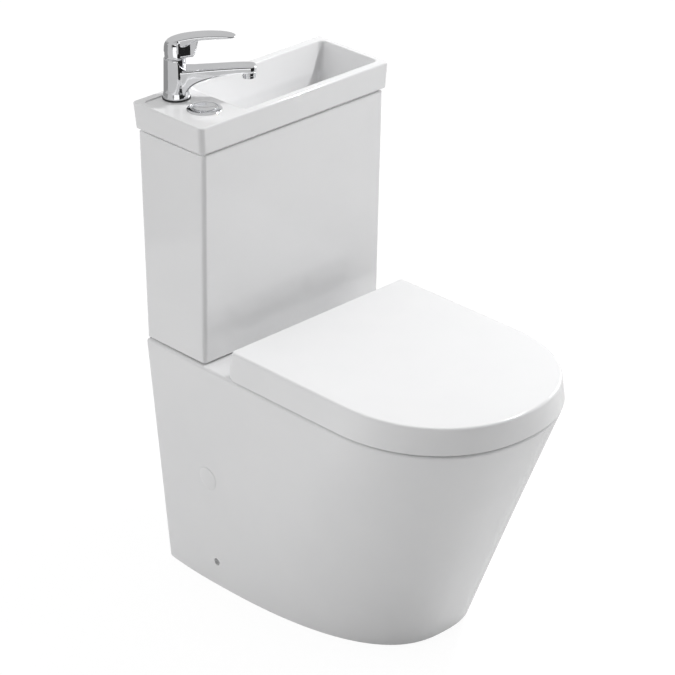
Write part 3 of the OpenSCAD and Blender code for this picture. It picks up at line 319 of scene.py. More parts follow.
def noise(tree, coords, scale, detail, stretch=(1, 1, 1)):
    place = node_of(tree, "ShaderNodeMapping")
    place.inputs["Scale"].default_value = stretch
    tree.links.new(coords.outputs["Object"], place.inputs["Vector"])
    made = node_of(tree, "ShaderNodeTexNoise")
    made.inputs["Scale"].default_value = scale
    made.inputs["Detail"].default_value = detail
    tree.links.new(place.outputs["Vector"], made.inputs["Vector"])
    return made.outputs["Fac"]


def ranged(tree, value, low, high, start=0.3, end=0.7):
    made = node_of(tree, "ShaderNodeMapRange")
    made.inputs["From Min"].default_value = start
    made.inputs["From Max"].default_value = end
    made.inputs["To Min"].default_value = low
    made.inputs["To Max"].default_value = high
    tree.links.new(value, made.inputs["Value"])
    return made.outputs["Result"]


def finish_of(name, colour, other, rough, metal=0.0, coat=0.0, patch=18, grain=220, bump=0.02,
              stretch=(1, 1, 1), ior=1.5):
    """A surface whose colour drifts between two close colours and whose roughness and bump have grain."""
    made = bpy.data.materials.new(name)
    made.use_nodes = True
    tree = made.node_tree
    shader = tree.nodes["Principled BSDF"]
    coords = node_of(tree, "ShaderNodeTexCoord")
    drift = ranged(tree, noise(tree, coords, patch, 3), 0, 1)
    mix = node_of(tree, "ShaderNodeMix", data_type="RGBA")
    mix.inputs["A"].default_value = (*colour, 1)
    mix.inputs["B"].default_value = (*other, 1)
    tree.links.new(drift, mix.inputs["Factor"])
    tree.links.new(mix.outputs["Result"], shader.inputs["Base Color"])
    fine = noise(tree, coords, grain, 4, stretch)
    tree.links.new(ranged(tree, fine, *rough), shader.inputs["Roughness"])
    relief = node_of(tree, "ShaderNodeBump")
    relief.inputs["Strength"].default_value = bump
    relief.inputs["Distance"].default_value = 0.001
    tree.links.new(fine, relief.inputs["Height"])
    tree.links.new(relief.outputs["Normal"], shader.inputs["Normal"])
    shader.inputs["Metallic"].default_value = metal
    shader.inputs["IOR"].default_value = ior
    shader.inputs["Coat Weight"].default_value = coat
    shader.inputs["Coat Roughness"].default_value = 0.03
    return made


CERAMIC = finish_of("vitreous china", (0.86, 0.86, 0.865), (0.84, 0.842, 0.848), (0.05, 0.09),
                    coat=0.3, patch=9, grain=45, bump=0.01)
SEAT_WHITE = finish_of("seat white", (0.895, 0.895, 0.9), (0.88, 0.882, 0.888), (0.14, 0.2),
                       patch=14, grain=400, bump=0.006)
CAP_WHITE = finish_of("cap white", (0.86, 0.86, 0.865), (0.84, 0.842, 0.848), (0.14, 0.2),
                      patch=14, grain=400, bump=0.006)
CHROME = finish_of("chrome plate", (0.82, 0.825, 0.84), (0.77, 0.775, 0.79), (0.04, 0.08),
                   metal=1.0, patch=30, grain=160, bump=0.01)
GREY = finish_of("pale moulding", (0.72, 0.73, 0.74), (0.68, 0.69, 0.7), (0.38, 0.5),
                 patch=60, grain=900, bump=0.08)
RUBBER = finish_of("black rubber", (0.03, 0.03, 0.032), (0.045, 0.045, 0.047), (0.55, 0.75),
                   patch=80, grain=700, bump=0.12)
BLUE = finish_of("blue moulding", (0.1, 0.24, 0.44), (0.12, 0.27, 0.47), (0.34, 0.45),
                 patch=70, grain=800, bump=0.06)
RED = finish_of("red plug", (0.55, 0.04, 0.03), (0.48, 0.05, 0.04), (0.2, 0.3),
                patch=90, grain=900, bump=0.03)
STEEL = finish_of("plain steel", (0.56, 0.56, 0.57), (0.5, 0.5, 0.51), (0.22, 0.36), metal=1.0,
                  patch=60, grain=120, bump=0.06, stretch=(1, 1, 14))
BRASS = finish_of("turned brass", (0.72, 0.53, 0.26), (0.66, 0.47, 0.22), (0.2, 0.34), metal=1.0,
                  patch=60, grain=140, bump=0.06, stretch=(1, 1, 12))
SLOTS = {"ceramic": CERAMIC, "white_plastic": SEAT_WHITE, "grey_plastic": GREY, "blue_plastic": BLUE,
         "red_plastic": RED, "rubber": RUBBER, "chrome": CHROME, "steel": STEEL, "brass": BRASS}

# The CAD's pieces take the material of their slot; those without a finer mesh below stay in view
for part in frame["record"]["subparts"]:
    shown = frame["nodes"][part["node"]]
    shown.data.materials.clear()
    shown.data.materials.append(SLOTS[part["material_slot"]])


# ---- Pan ----

def pan_ring(z, d=0.0, corner=3):
    """Outline of the skirt at a height, moved inwards by d."""
    t = z / PAN_H
    foot = outline(0, FOOT_BACK_W, FOOT_W, FOOT_STRAIGHT, FOOT_D, FOOT_POWER, corner=corner)
    top = outline(0, RIM_BACK_W, RIM_W, RIM_STRAIGHT, PAN_D, RIM_POWER, corner=corner)
    return at_z(inset(foot * (1 - t) + top * t, d), z)


def egg(w, back, front, z, n=96):
    """An egg-shaped ring, a little wider in front of its middle than behind it."""
    mid, length = (back + front) / 2, (front - back) / 2
    return np.array([[-w * sin(a) * (1 - 0.06 * cos(a)), -mid + length * cos(a), z]
                     for a in np.linspace(0, 2 * pi, n, endpoint=False)])


# Levels of the bowl: half width, distances from the wall to its back and its front, height
BOWL_KEYS = [(40, BOWL_BACK + 68, BOWL_BACK + 168, OUTLET_H - 58),
             (43, BOWL_BACK + 64, BOWL_BACK + 174, OUTLET_H - 30),
             (49, BOWL_BACK + 58, BOWL_BACK + 186, OUTLET_H),
             (62, BOWL_BACK + 50, BOWL_FRONT - 112, OUTLET_H + 32),
             (88, BOWL_BACK + 36, BOWL_FRONT - 72, OUTLET_H + 70),
             (BOWL_W / 2 - 15, BOWL_BACK + 18, BOWL_FRONT - 36, PAN_H - 105),
             (BOWL_W / 2, BOWL_BACK + 2, BOWL_FRONT - 8, PAN_H - 47),
             (BOWL_W / 2 + 1, BOWL_BACK - 1, BOWL_FRONT + 1, DECK_UNDER)]
# Middle of the trapway, from the sump over the weir: y from the back of the bowl, height from the outlet
TRAP_KEYS = [(123, -26), (93, -27), (63, -16), (41, 15), (17, 58), (-10, 78), (-38, 70), (-61, 42), (-82, 14)]


def bowl_ring(row, grow):
    w, back, front, z = row
    return egg(w + grow, back - grow, front + grow, z)


def pan():
    """The skirt, bowl, trapway, spigot and flush channel as one hollow casting."""
    foot_r, rim_r, hollow_r, lip = 3, 6, 8, 7
    rings = [pan_ring(foot_r - up, come) for come, up in reversed(quarter(foot_r, 3))]
    rings += [pan_ring(z) for z in np.linspace(foot_r, PAN_H - rim_r, 15)[1:]]
    rings += [pan_ring(PAN_H - rim_r + up, come) for come, up in quarter(rim_r, 7)[1:]]
    body = loft("pan", rings)
    hollow = [pan_ring(z, PAN_WALL, 0) for z in (-1, 120, 250, DECK_UNDER - hollow_r)]
    hollow += [pan_ring(DECK_UNDER - hollow_r + up, PAN_WALL + come, 0)
               for come, up in quarter(hollow_r, 4)[1:]]
    cut(body, loft("hollow", hollow))
    opening = FOOT_BACK_W - 4 * PAN_WALL
    ring = rounded(-opening / 2, opening / 2, -1, DECK_UNDER - 50, 12)
    back_cut = [np.column_stack([ring[:, 0], np.full(len(ring), y), ring[:, 1]]) for y in (-24, 12)]
    cut(body, loft("back opening", back_cut))
    rows = through(BOWL_KEYS, 5)
    outer = [bowl_ring(rows[0] - [0, 0, 0, 9], -6), bowl_ring(rows[0] - [0, 0, 0, 7], 3)]
    outer += [bowl_ring(r, BOWL_WALL) for r in rows]
    join(body, loft("bowl outside", outer))
    keys = [(0, -BOWL_BACK - y, OUTLET_H + z) for y, z in TRAP_KEYS]
    route = through(keys + [(0, 10 - SPIGOT_END - SPIGOT_LEN, OUTLET_H + 1)], 4)
    join(body, pipe("trap outside", route, TRAP_R + BOWL_WALL))
    sideways = Matrix.Rotation(pi / 2, 3, "X")
    at_outlet = (0, -SPIGOT_END, OUTLET_H)
    spigot = [(0, 0), (SPIGOT_R - 2, 0), (SPIGOT_R, 2), (SPIGOT_R, SPIGOT_LEN), (0, SPIGOT_LEN)]
    join(body, lathe("spigot", spigot, at_outlet, sideways))
    low = CHANNEL_Z - CHANNEL_R - BOWL_WALL
    join(body, lathe("valve boss", disc(BOSS_R, low, DECK_UNDER + 2), (0, -VALVE_BACK, 0)))
    duct = rounded(-DUCT_W / 2, DUCT_W / 2, -BOWL_BACK - BOWL_WALL, -VALVE_BACK, 6)
    join(body, loft("duct", [at_z(duct, low), at_z(duct, DECK_UNDER + 2)]))
    inner = [bowl_ring(rows[0], -8), bowl_ring(rows[0] + [0, 0, 0, 2], -2)]
    inner += [bowl_ring(r, 0) for r in rows[1:-1]]
    brim = BOWL_KEYS[-1][:3]
    inner += [bowl_ring((*brim, PAN_H - lip + up), come) for come, up in quarter(lip, 6)]
    inner.append(bowl_ring((*brim, PAN_H + 1), lip))
    cut(body, loft("bowl inside", inner))
    cut(body, pipe("trap inside", route, TRAP_R))
    cut(body, lathe("spigot bore", disc(SPIGOT_R - SPIGOT_WALL, -1, SPIGOT_LEN - 6), at_outlet, sideways))
    reach = BOWL_BACK - VALVE_BACK - BOWL_WALL
    cut(body, lathe("duct bore", disc(CHANNEL_R, 0, reach), (0, -VALVE_BACK, CHANNEL_Z), sideways))
    for dz in (-SPREADER_STEP, 0, SPREADER_STEP):
        half = sqrt(CHANNEL_R ** 2 - (abs(dz) + SPREADER_H / 2) ** 2)
        slot = rounded(-half, half, -BOWL_BACK - 20, 1 - VALVE_BACK - reach, 2)
        low = CHANNEL_Z + dz - SPREADER_H / 2
        cut(body, loft("spreader slot", [at_z(slot, low), at_z(slot, low + SPREADER_H)]))
    drill(body, 0, VALVE_BACK, CHANNEL_Z - CHANNEL_R, COUPLING_LOW + 2, VALVE_HOLE_R)
    drill(body, 0, VALVE_BACK, COUPLING_LOW, PAN_H + 1, COUPLING_R)
    holes = [(x, back, INLET_NUT_R) for x, back in INLETS]
    holes += [(side * x, back, DECK_BOLT_R) for side in (1, -1)
              for x, back in ((BOLT_X, VALVE_BACK), (HINGE_X, HINGE_BACK))]
    for x, back, r in holes:
        drill(body, x, back, DECK_UNDER - 1, PAN_H + 1, r)
    for side in (1, -1):
        cap_place, cap_turn = at_cap(side)
        cut(body, lathe("cap hole", disc(CAP_R - 2.5, -24, 12), cap_place, cap_turn))
        across = Matrix.Rotation(side * pi / 2, 3, "Y")
        hole = [(0, -24), (FIXING_R, -24), (FIXING_R, -0.8), (FIXING_R + 1.2, 1.2),
                (FIXING_R + 1.2, 9), (0, 9)]
        place = (side * skirt_x(FIXING_BACK, FIXING_H), -FIXING_BACK, FIXING_H)
        cut(body, lathe("fixing hole", hole, place, across, 48))
    return body


def skirt_x(back, z):
    """Half width of the skirt's outside at a distance from the wall and a height."""
    t = z / PAN_H
    straight = FOOT_STRAIGHT + (RIM_STRAIGHT - FOOT_STRAIGHT) * t
    return side_w(min(back / straight, 1), FOOT_BACK_W + (RIM_BACK_W - FOOT_BACK_W) * t,
                  FOOT_W + (RIM_W - FOOT_W) * t) / 2


def at_cap(side):
    """Place and turn of a side cap, square to the leaning skirt."""
    lean = atan((RIM_W - FOOT_W) / 2 / PAN_H)
    place = (side * skirt_x(CAP_BACK, CAP_H), -CAP_BACK, CAP_H)
    return place, Matrix.Rotation(side * (pi / 2 + lean), 3, "Y")


def side_caps():
    """A plug and a low dome for the hole in each side."""
    profile = [(0, -PAN_WALL), (CAP_R - 2.8, -PAN_WALL), (CAP_R - 2.8, 0.2), (CAP_R, 0.2), (CAP_R, 0.5),
               (CAP_R - 0.8, 0.9), (CAP_R - 4, 1.3), (2, 1.7), (0, 1.7)]
    return join(*(lathe("side_caps", profile, *at_cap(side)) for side in (-1, 1)))


finish_piece(pan(), "base", CERAMIC, ["pan_body", "pan_bowl", "pan_trap", "flush_channel"])
finish_piece(side_caps(), "base", CAP_WHITE, ["side_caps"])


# ---- Seat and lid ----

def bar_x(x0, x1, back, z, radius, sides=48):
    """A round bar along x."""
    across = Matrix.Rotation(pi / 2, 3, "Y")
    return lathe("bar", disc(radius, 0, x1 - x0), (x0, -back, z), across, sides)


def lid_ring(t, z, come=0.0, corner=5):
    """Outline of the lid at a share t of its height, moved inwards by come."""
    w = LID_W - 2 * LID_TAPER * t
    ring = outline(LID_BACK, w, w, RIM_STRAIGHT + 5 * t, LID_D - 1.4 * t, RIM_POWER, corner=corner)
    return at_z(inset(ring, come), z)


def lid():
    """A shell with its hinge knuckles, and room for the hinge posts and for the turn about the pins."""
    edge, low_edge, under_r, top_share, inner_share = 4.5, 0.8, 4, 0.93, 0.85
    rings = [lid_ring(0, LID_Z, low_edge), lid_ring(0.02, LID_Z + low_edge)]
    for z in np.linspace(LID_Z + low_edge, LID_TOP - edge, 8)[1:]:
        rings.append(lid_ring((z - LID_Z) / (LID_TOP - LID_Z), z))
    for come, up in quarter(edge, 7)[1:]:
        ring = lid_ring(top_share, LID_TOP - edge + up, come)
        # The back edge is sharper than the others
        ring[:, 1] += 0.8 * come * np.clip(1 + (ring[:, 1] + LID_BACK + come) / 12, 0, 1)
        rings.append(ring)
    body = loft("lid", rings)
    inner = [lid_ring(0, LID_Z - 1, LID_WALL, 10),
             lid_ring(inner_share, LID_TOP - LID_WALL - under_r, LID_WALL, 10)]
    inner += [lid_ring(inner_share, LID_TOP - LID_WALL - under_r + up, LID_WALL + come, 10)
              for come, up in quarter(under_r, 4)[1:]]
    cut(body, loft("lid inside", inner))
    knuckle = HINGE_X - POST_W / 2 - HINGE_GAP - LID_KNUCKLE_W
    for x in (knuckle, -knuckle - LID_KNUCKLE_W):
        block = rounded(x, x + LID_KNUCKLE_W, -HINGE_BACK - KNUCKLE_R, -HINGE_BACK + KNUCKLE_R, 1)
        join(body, bar_x(x, x + LID_KNUCKLE_W, HINGE_BACK, HINGE_Z, KNUCKLE_R),
             loft("block", [at_z(block, HINGE_Z), at_z(block, LID_TOP - LID_WALL + 0.5)]))
    cut(body, bar_x(-80, 80, HINGE_BACK, HINGE_Z, LID_BORE_R))
    for x in (HINGE_X, -HINGE_X):
        half, clear = POST_FOOT_R + 1.5, KNUCKLE_R + 1
        notch = rounded(x - half, x + half, clear - HINGE_BACK, clear + HINGE_R - HINGE_BACK, 2)
        cut(body, loft("notch", [at_z(notch, LID_Z - 1), at_z(notch, LID_TOP - LID_WALL - 1)]))
    arc = [(HINGE_R * cos(a), -HINGE_R * sin(a)) for a in np.linspace(0, pi / 2, 25)]
    ring = arc + [(0, -HINGE_R - 3), (HINGE_R + 3, -HINGE_R - 3), (HINGE_R + 3, 0)]
    cut(body, loft("heel", [[(x, y - HINGE_BACK, z + HINGE_Z) for y, z in ring] for x in (-200, 200)]))
    return body


def seat():
    """A ring with hinge arms behind it."""
    low_edge, top_r, hole_r = 1.5, 6, 7
    back = HINGE_BACK + KNUCKLE_R + SEAT_GAP
    w = LID_W - 2 * (LID_WALL + SEAT_INSET)
    ring = outline(back, w, w, RIM_STRAIGHT, LID_D - LID_WALL - SEAT_INSET, RIM_POWER, corner=14)
    top = SEAT_Z + SEAT_T
    outer = [at_z(inset(ring, low_edge), SEAT_Z), at_z(ring, SEAT_Z + low_edge), at_z(ring, top - top_r)]
    outer += [at_z(inset(ring, come), top - top_r + up) for come, up in quarter(top_r, 6)[1:]]
    body = loft("seat", outer)
    mid = (BOWL_BACK + BOWL_FRONT) / 2
    hole = np.array([[SEAT_HOLE_W / 2 * cos(a), SEAT_HOLE_L / 2 * sin(a) - mid]
                     for a in np.linspace(0, 2 * pi, 128, endpoint=False)])
    inner = [at_z(hole, SEAT_Z - 1), at_z(hole, top - hole_r)]
    inner += [at_z(inset(hole, -come), top - hole_r + up) for come, up in quarter(hole_r, 6)[1:]]
    inner.append(at_z(inset(hole, -hole_r), top + 1))
    cut(body, loft("seat hole", inner))
    knuckle = HINGE_X + POST_W / 2 + HINGE_GAP
    for x in (knuckle, -knuckle - KNUCKLE_W):
        arm = rounded(x, x + KNUCKLE_W, -back - 4, -HINGE_BACK, 1)
        join(body, bar_x(x, x + KNUCKLE_W, HINGE_BACK, HINGE_Z, KNUCKLE_R),
             loft("arm", [at_z(arm, SEAT_Z + 4), at_z(arm, top - 1)]))
    cut(body, bar_x(-160, 160, HINGE_BACK, HINGE_Z, SEAT_BORE_R))
    return body


finish_piece(lid(), "lid", SEAT_WHITE, ["seat_lid"])
finish_piece(seat(), "seat", SEAT_WHITE, ["seat_ring"])


# ---- Cistern ----

def cistern_ring(z, d, corners=CISTERN_CORNERS):
    """Outline of the cistern at a height, moved inwards by d."""
    t = (z - CISTERN_Z) / (CISTERN_TOP - CISTERN_Z)
    half = CISTERN_W / 2 - 0.5 * (1 - t)
    front = CISTERN_FOOT_D + (CISTERN_D - CISTERN_FOOT_D) * t
    radii = tuple(max(r - d, 2) for r in corners)
    return at_z(rounded(d - half, half - d, d - front, -CISTERN_BACK - d, radii, 8, 8), z)


def cistern():
    """The tank, open at its top, with a rebate under the basin and holes in its floor."""
    edge, floor_r = 1.5, 6
    rings = [cistern_ring(CISTERN_Z + edge - up, come) for come, up in reversed(quarter(edge, 5))]
    rings += [cistern_ring(z, 0) for z in np.linspace(CISTERN_Z + edge, REBATE_Z - 0.5, 10)[1:]]
    # The rebate under the basin is a little higher in front
    for d in (0.5, REBATE_IN):
        ring = cistern_ring(REBATE_Z, d)
        ring[:, 2] += REBATE_LIFT * np.clip(1 - (ring[:, 1] + CISTERN_D - d) / REBATE_RUN, 0, 1)
        rings.append(ring)
    rings.append(cistern_ring(CISTERN_TOP, REBATE_IN))
    body = loft("tank", rings)
    floor = CISTERN_Z + CISTERN_FLOOR
    inner = [cistern_ring(floor + floor_r - up, CISTERN_WALL + come, INSIDE_CORNERS)
             for come, up in reversed(quarter(floor_r, 4))]
    inner += [cistern_ring(z, CISTERN_WALL, INSIDE_CORNERS) for z in (500, 600, CISTERN_TOP + 1)]
    cut(body, loft("tank inside", inner))
    holes = [(0, VALVE_BACK, OUTLET_HOLE_R)]
    holes += [(x, VALVE_BACK, TANK_BOLT_R) for x in (BOLT_X, -BOLT_X)]
    holes += [(x, back, INLET_HOLE_R) for x, back in INLETS]
    for x, back, r in holes:
        drill(body, x, back, CISTERN_Z - 1, floor + 1, r)
    return body


finish_piece(cistern(), "base", CERAMIC, ["cistern"])


# ---- Basin ----

def basin_ring(z, d):
    """Outline of the basin at a height, moved inwards by d."""
    half = BASIN_W / 2
    return at_z(rounded(d - half, half - d, d - BASIN_D, -max(d, 0), BASIN_CORNERS, 8, 10), z)


def bowl_walls(z):
    """Left, right, front and back of the basin's bowl at a height."""
    left = np.interp(z, [BOWL_FLOOR, BASIN_TOP], [10, -BOWL_LEFT])
    side = BASIN_W / 2 - END_RIM
    right = np.interp(z, [BOWL_FLOOR, BASIN_Z, BASIN_TOP], [side - 19, side - 16, side])
    front = np.interp(z, [BOWL_FLOOR, BASIN_Z, BASIN_TOP], [RIM + 11, RIM + 8, RIM]) - BASIN_D
    back = np.interp(z, [BOWL_FLOOR, BASIN_Z, BASIN_TOP], [-RIM - 16, -RIM - 12, -RIM])
    return left, right, front, back


def basin_bowl_ring(z, grow, at=None):
    """Outline of the basin's bowl, grown outwards, at a height or with the walls of another one."""
    left, right, front, back = bowl_walls(z if at is None else at)
    lean = 1.3
    return at_z(rounded(left - grow * lean, right + grow, front - grow, back + grow, BOWL_CORNER, 8, 10), z)


def basin():
    """The basin with its bowl, its deck for the tap and the buttons, and their holes."""
    top_r, low_r, floor_r = BASIN_RIM_R, 2, BOWL_FLOOR_R
    rings = [basin_ring(BASIN_Z + low_r - up, BASIN_DRAFT + come) for come, up in reversed(quarter(low_r, 4))]
    for z in np.linspace(BASIN_Z + low_r, BASIN_TOP - top_r, 5)[1:]:
        share = (BASIN_TOP - top_r - z) / (BASIN_TOP - top_r - BASIN_Z - low_r)
        rings.append(basin_ring(z, BASIN_DRAFT * share))
    rings += [basin_ring(BASIN_TOP - top_r + up, come) for come, up in quarter(top_r, 6)[1:]]
    body = loft("hand_basin", rings)
    half = BASIN_W / 2
    under = rounded(UNDER_WALL - half, half - UNDER_WALL, UNDER_WALL - BASIN_D, -UNDER_WALL, 5)
    cut(body, loft("underside", [at_z(under, BASIN_Z - 1), at_z(under, DECK_LOW)]))
    outer = [basin_bowl_ring(BOWL_FLOOR - BASIN_WALL + floor_r - up, BASIN_WALL - come, BOWL_FLOOR)
             for come, up in reversed(quarter(floor_r, 5))]
    outer += [basin_bowl_ring(z, BASIN_WALL) for z in (BASIN_Z, DECK_LOW + 2)]
    join(body, loft("bowl outside", outer))
    inner = [basin_bowl_ring(BOWL_FLOOR + floor_r - up, -come, BOWL_FLOOR + floor_r - up)
             for come, up in reversed(quarter(floor_r, 6))]
    inner += [basin_bowl_ring(z, 0) for z in np.linspace(BOWL_FLOOR + floor_r, BASIN_TOP - top_r, 24)[1:]]
    inner += [basin_bowl_ring(BASIN_TOP - top_r + up, come, BASIN_TOP - top_r)
              for come, up in quarter(top_r, 6)[1:]]
    inner.append(basin_bowl_ring(BASIN_TOP + 1, top_r, BASIN_TOP - top_r))
    cut(body, loft("bowl inside", inner))
    sunk = BASIN_TOP - DECK_Z
    deck = rounded(END_RIM - half, 20 - BOWL_LEFT, RIM - BASIN_D, -RIM, DECK_CORNER, 8, 10)
    recess = [at_z(inset(deck, come), DECK_Z + sunk - up) for come, up in reversed(quarter(sunk, 4))]
    recess.append(at_z(deck, BASIN_TOP + 1))
    cut(body, loft("deck recess", recess))
    cut(body, lathe("tap seat", disc(FOOT_SEAL_R + 0.3, DECK_Z, BASIN_TOP + 1), (TAP_X, -TAP_BACK, 0)))
    drill(body, TAP_X, TAP_BACK, DECK_LOW - 6, BASIN_TOP + 1, TAP_HOLE_R)
    drill(body, TAP_X, BUTTON_BACK, DECK_LOW - 1, BASIN_TOP + 1, BUTTON_HOLE_R)
    drill(body, WASTE_X, WASTE_BACK, BOWL_FLOOR - 9, BOWL_FLOOR + 1, WASTE_R)
    return body


finish_piece(basin(), "base", CERAMIC, ["basin"])


# ---- Tap ----

def tap_place(ring):
    """Points on the tap's own axes, placed on the basin's deck."""
    c, s = cos(radians(TAP_ANGLE)), sin(radians(TAP_ANGLE))
    ring = np.asarray(ring, float)
    return np.column_stack([TAP_X + ring[:, 0] * c + ring[:, 1] * s,
                            -TAP_BACK - ring[:, 0] * s + ring[:, 1] * c, DECK_Z + ring[:, 2]])


def section(s, low, high, w, r):
    """A section with rounded corners across the spout or the lever, at a distance s along it."""
    return tap_place([(s, y, z) for y, z in rounded(-w / 2, w / 2, low, high, r, 6, 3)])


def tap_lathe(name, profile, x=0.0, sides=96):
    """A solid of revolution about an upright axis, at a distance x along the spout."""
    return lathe(name, profile, tap_place([[x, 0, 0]])[0], sides=sides)


def tap_block(name, ring, half):
    """A block across the tap, from an outline of distances along the spout and heights."""
    return loft(name, [tap_place([(x, y, z) for x, z in ring]) for y in (-half, half)])


def tap_bar(name, s0, s1, z, radius):
    """A round bar along the spout's direction."""
    circle = [(radius * cos(a), z + radius * sin(a)) for a in np.linspace(0, 2 * pi, 32, endpoint=False)]
    return loft(name, [tap_place([(s, y, h) for y, h in circle]) for s in (s0, s1)])


# Sections of the spout: distance out, lower edge, upper edge, width
SPOUT = [(4, 6, 46, 32), (14, 10, 47, 33), (22, 20, 47.5, 32), (32, 26.5, 48, 30.5), (48, 32, 49, 28.5),
         (70, 37, 50.2, 27.5), (94, SPOUT_LOW, 51.3, 27), (SPOUT_REACH + 2, SPOUT_LOW, SPOUT_TOP, 25.5),
         (SPOUT_REACH + 8, SPOUT_LOW + 0.3, SPOUT_TOP - 0.3, 20.5),
         (SPOUT_REACH + 11.5, SPOUT_LOW + 2.4, SPOUT_TOP - 2, 12)]
# Where the body's top dips in front to meet the spout: distance out, height below the body's top
SCOOP = [(3, 0.5), (5, -3), (8, -9), (12, -13.5), (18, -15.7), (30, -16.2), (40, -14)]
# Sections of the lever, and of the neck in front of its drum: distance out, edges from the lever's top, width
LEVER = [(-12, -17, -12, 18), (-6, -17, -9, 25), (4, -17, -6, 29), (16, -15, -3.4, 29),
         (32, -8, -1.2, 27.5), (50, -6.2, -0.2, 26.5), (68, -6, -0.6, 25), (80, -6.2, -1.8, 22),
         (87, -5.8, -3.2, 16), (90, -5.2, -4, 9)]
NECK = [(4, -35, -7, 32), (8, -35, -6.6, 30), (23.5, -34.5, -4.4, 20.5), (27, -34, -4, 20.5),
        (30, -29, -3.5, 20.5), (33, -19, -3, 20), (35, -11, -3, 19)]


def tap_body():
    """The tap's body fused with its spout."""
    foot = FOOT_SEAL_R - 0.6
    body = tap_lathe("tap", [(0, SEAL_T), (foot, SEAL_T), (foot, SEAL_T + 2), (foot - 0.6, SEAL_T + 5),
                             (foot - 1.6, SEAL_T + 9), (BODY_TOP_R, BODY_H), (0, BODY_H)])
    join(body, loft("spout", [section(*row, r=3.4) for row in through(SPOUT, 4)]))
    dip = [(x, BODY_H + z) for x, z in through(SCOOP, 4)] + [(40, BODY_H + 1)]
    cut(body, tap_block("scoop", dip, 40))
    melt(body, MELT_VOXEL, 4)
    cut(body, tap_lathe("cartridge bore", disc(CARTRIDGE_R, CARTRIDGE_LOW, BODY_H + 2)))
    cut(body, tap_lathe("collar bore", disc(SKIRT_R + 0.2, COLLAR_LOW, BODY_H + 2)))
    cut(body, tap_lathe("nozzle bore", disc(AERATOR_R - 1.7, SPOUT_LOW - 3, SPOUT_LOW + 6), SPOUT_REACH, 48))
    return body


def collar():
    """The ball that the handle tilts on, with a skirt that goes down into the body."""
    inner_r, bore_r, top = COLLAR_R - 1.8, 13.9, BODY_H + 0.4
    low, high = atan((top - PIVOT_H) / COLLAR_R), acos(COLLAR_HOLE_R / COLLAR_R)
    outer = [(COLLAR_R * cos(a), PIVOT_H + COLLAR_R * sin(a)) for a in np.linspace(low, high, 24)]
    inner = [(inner_r * cos(a), PIVOT_H + inner_r * sin(a)) for a in np.linspace(high, low, 24)]
    skirt = [(bore_r, COLLAR_LOW + 0.2), (SKIRT_R, COLLAR_LOW + 0.2), (SKIRT_R, top - 0.4),
             (SKIRT_R - 0.4, top)]
    return tap_lathe("collar", skirt + outer + inner + [(bore_r, top - 0.4)])


def handle():
    """The lever with its tapered drum, hollowed for the ball and cut along a slanting seam."""
    top = TAP_H
    drum = [(0, BODY_H - 3.5), (HANDLE_R, BODY_H - 3.5), (HANDLE_R, BODY_H), (HANDLE_R - 1.2, top - 20),
            (HANDLE_R - 2, top - 15.5), (HANDLE_R - 4, top - 12), (HANDLE_R - 8, top - 10),
            (1, top - 9), (0, top - 9)]
    body = tap_lathe("lever", drum)
    for name, rows, r in (("blade", LEVER, 2), ("neck", NECK, 4)):
        join(body, loft(name, [section(s, top + low, top + high, w, min(r, (high - low) / 2.2))
                               for s, low, high, w in through(rows, 4)]))
    melt(body, MELT_VOXEL, 5)
    ball_r = COLLAR_R + 0.5
    ball = [(ball_r * sin(a), PIVOT_H - ball_r * cos(a)) for a in np.linspace(0.02, pi - 0.02, 40)]
    cut(body, tap_lathe("ball seat", [(0, ball[0][1]), *ball, (0, ball[-1][1])]))
    seam = atan(HANDLE_TILT / (2 * HANDLE_R))
    corners = [(-40, -60), (40, -60), (40, 0), (-40, 0)]
    middle = BODY_H + 0.5 + HANDLE_TILT / 2
    ring = [(x * cos(seam) + z * sin(seam), -x * sin(seam) + z * cos(seam) + middle) for x, z in corners]
    cut(body, tap_block("seam", ring, 40))
    half = SPINDLE_W / 2
    socket = [(-half, PIVOT_H), (half, PIVOT_H), (half, PIVOT_H + SPINDLE_H), (-half, PIVOT_H + SPINDLE_H)]
    cut(body, tap_block("spindle socket", socket, SPINDLE_D / 2))
    return cut(body, tap_bar("screw bore", 0, 60, SCREW_H, SCREW_R))


def aerator():
    """Nozzle with two bands and a thread that goes up into the spout."""
    r, low, top = AERATOR_R, AERATOR_Z, SPOUT_LOW - 0.1
    mid = (low + top) / 2
    outer = [(r - 2, low), (r - 0.6, low), (r, low + 0.6), (r, mid - 0.7), (r - 0.8, mid - 0.3),
             (r - 0.8, mid + 0.3), (r, mid + 0.7), (r, top - 0.5), (r - 0.5, top)]
    inner = [(r - 1.8, top), (r - 1.8, top + 5), (r - 3, top + 5), (r - 3, top - 1), (r - 2, top - 1)]
    return tap_lathe("aerator", outer + inner, SPOUT_REACH)


finish_piece(tap_body(), "base", CHROME, ["tap_body"])
finish_piece(collar(), "base", CHROME, ["tap_collar"])
finish_piece(aerator(), "base", CHROME, ["aerator_housing"])
finish_piece(handle(), "tap_lever", CHROME, ["tap_handle"])


# ---- Flush buttons ----

def bezel():
    """Domed ring with the sleeve that clamps it through the deck."""
    low, top, edge = DECK_Z - SLEEVE_LEN, DECK_Z + BEZEL_T, 0.6
    dome = [(BUTTON_R - 6 * t, DECK_Z + edge + (BEZEL_T - edge) * sin(t * pi / 2) ** 0.8)
            for t in np.linspace(0, 1, 14)]
    ring = [(BEZEL_BORE_R, low), (SLEEVE_R, low), (SLEEVE_R, DECK_Z), (BUTTON_R, DECK_Z), *dome,
            (BEZEL_BORE_R, top - 0.5)]
    return lathe("bezel", ring, (TAP_X, -BUTTON_BACK, 0))


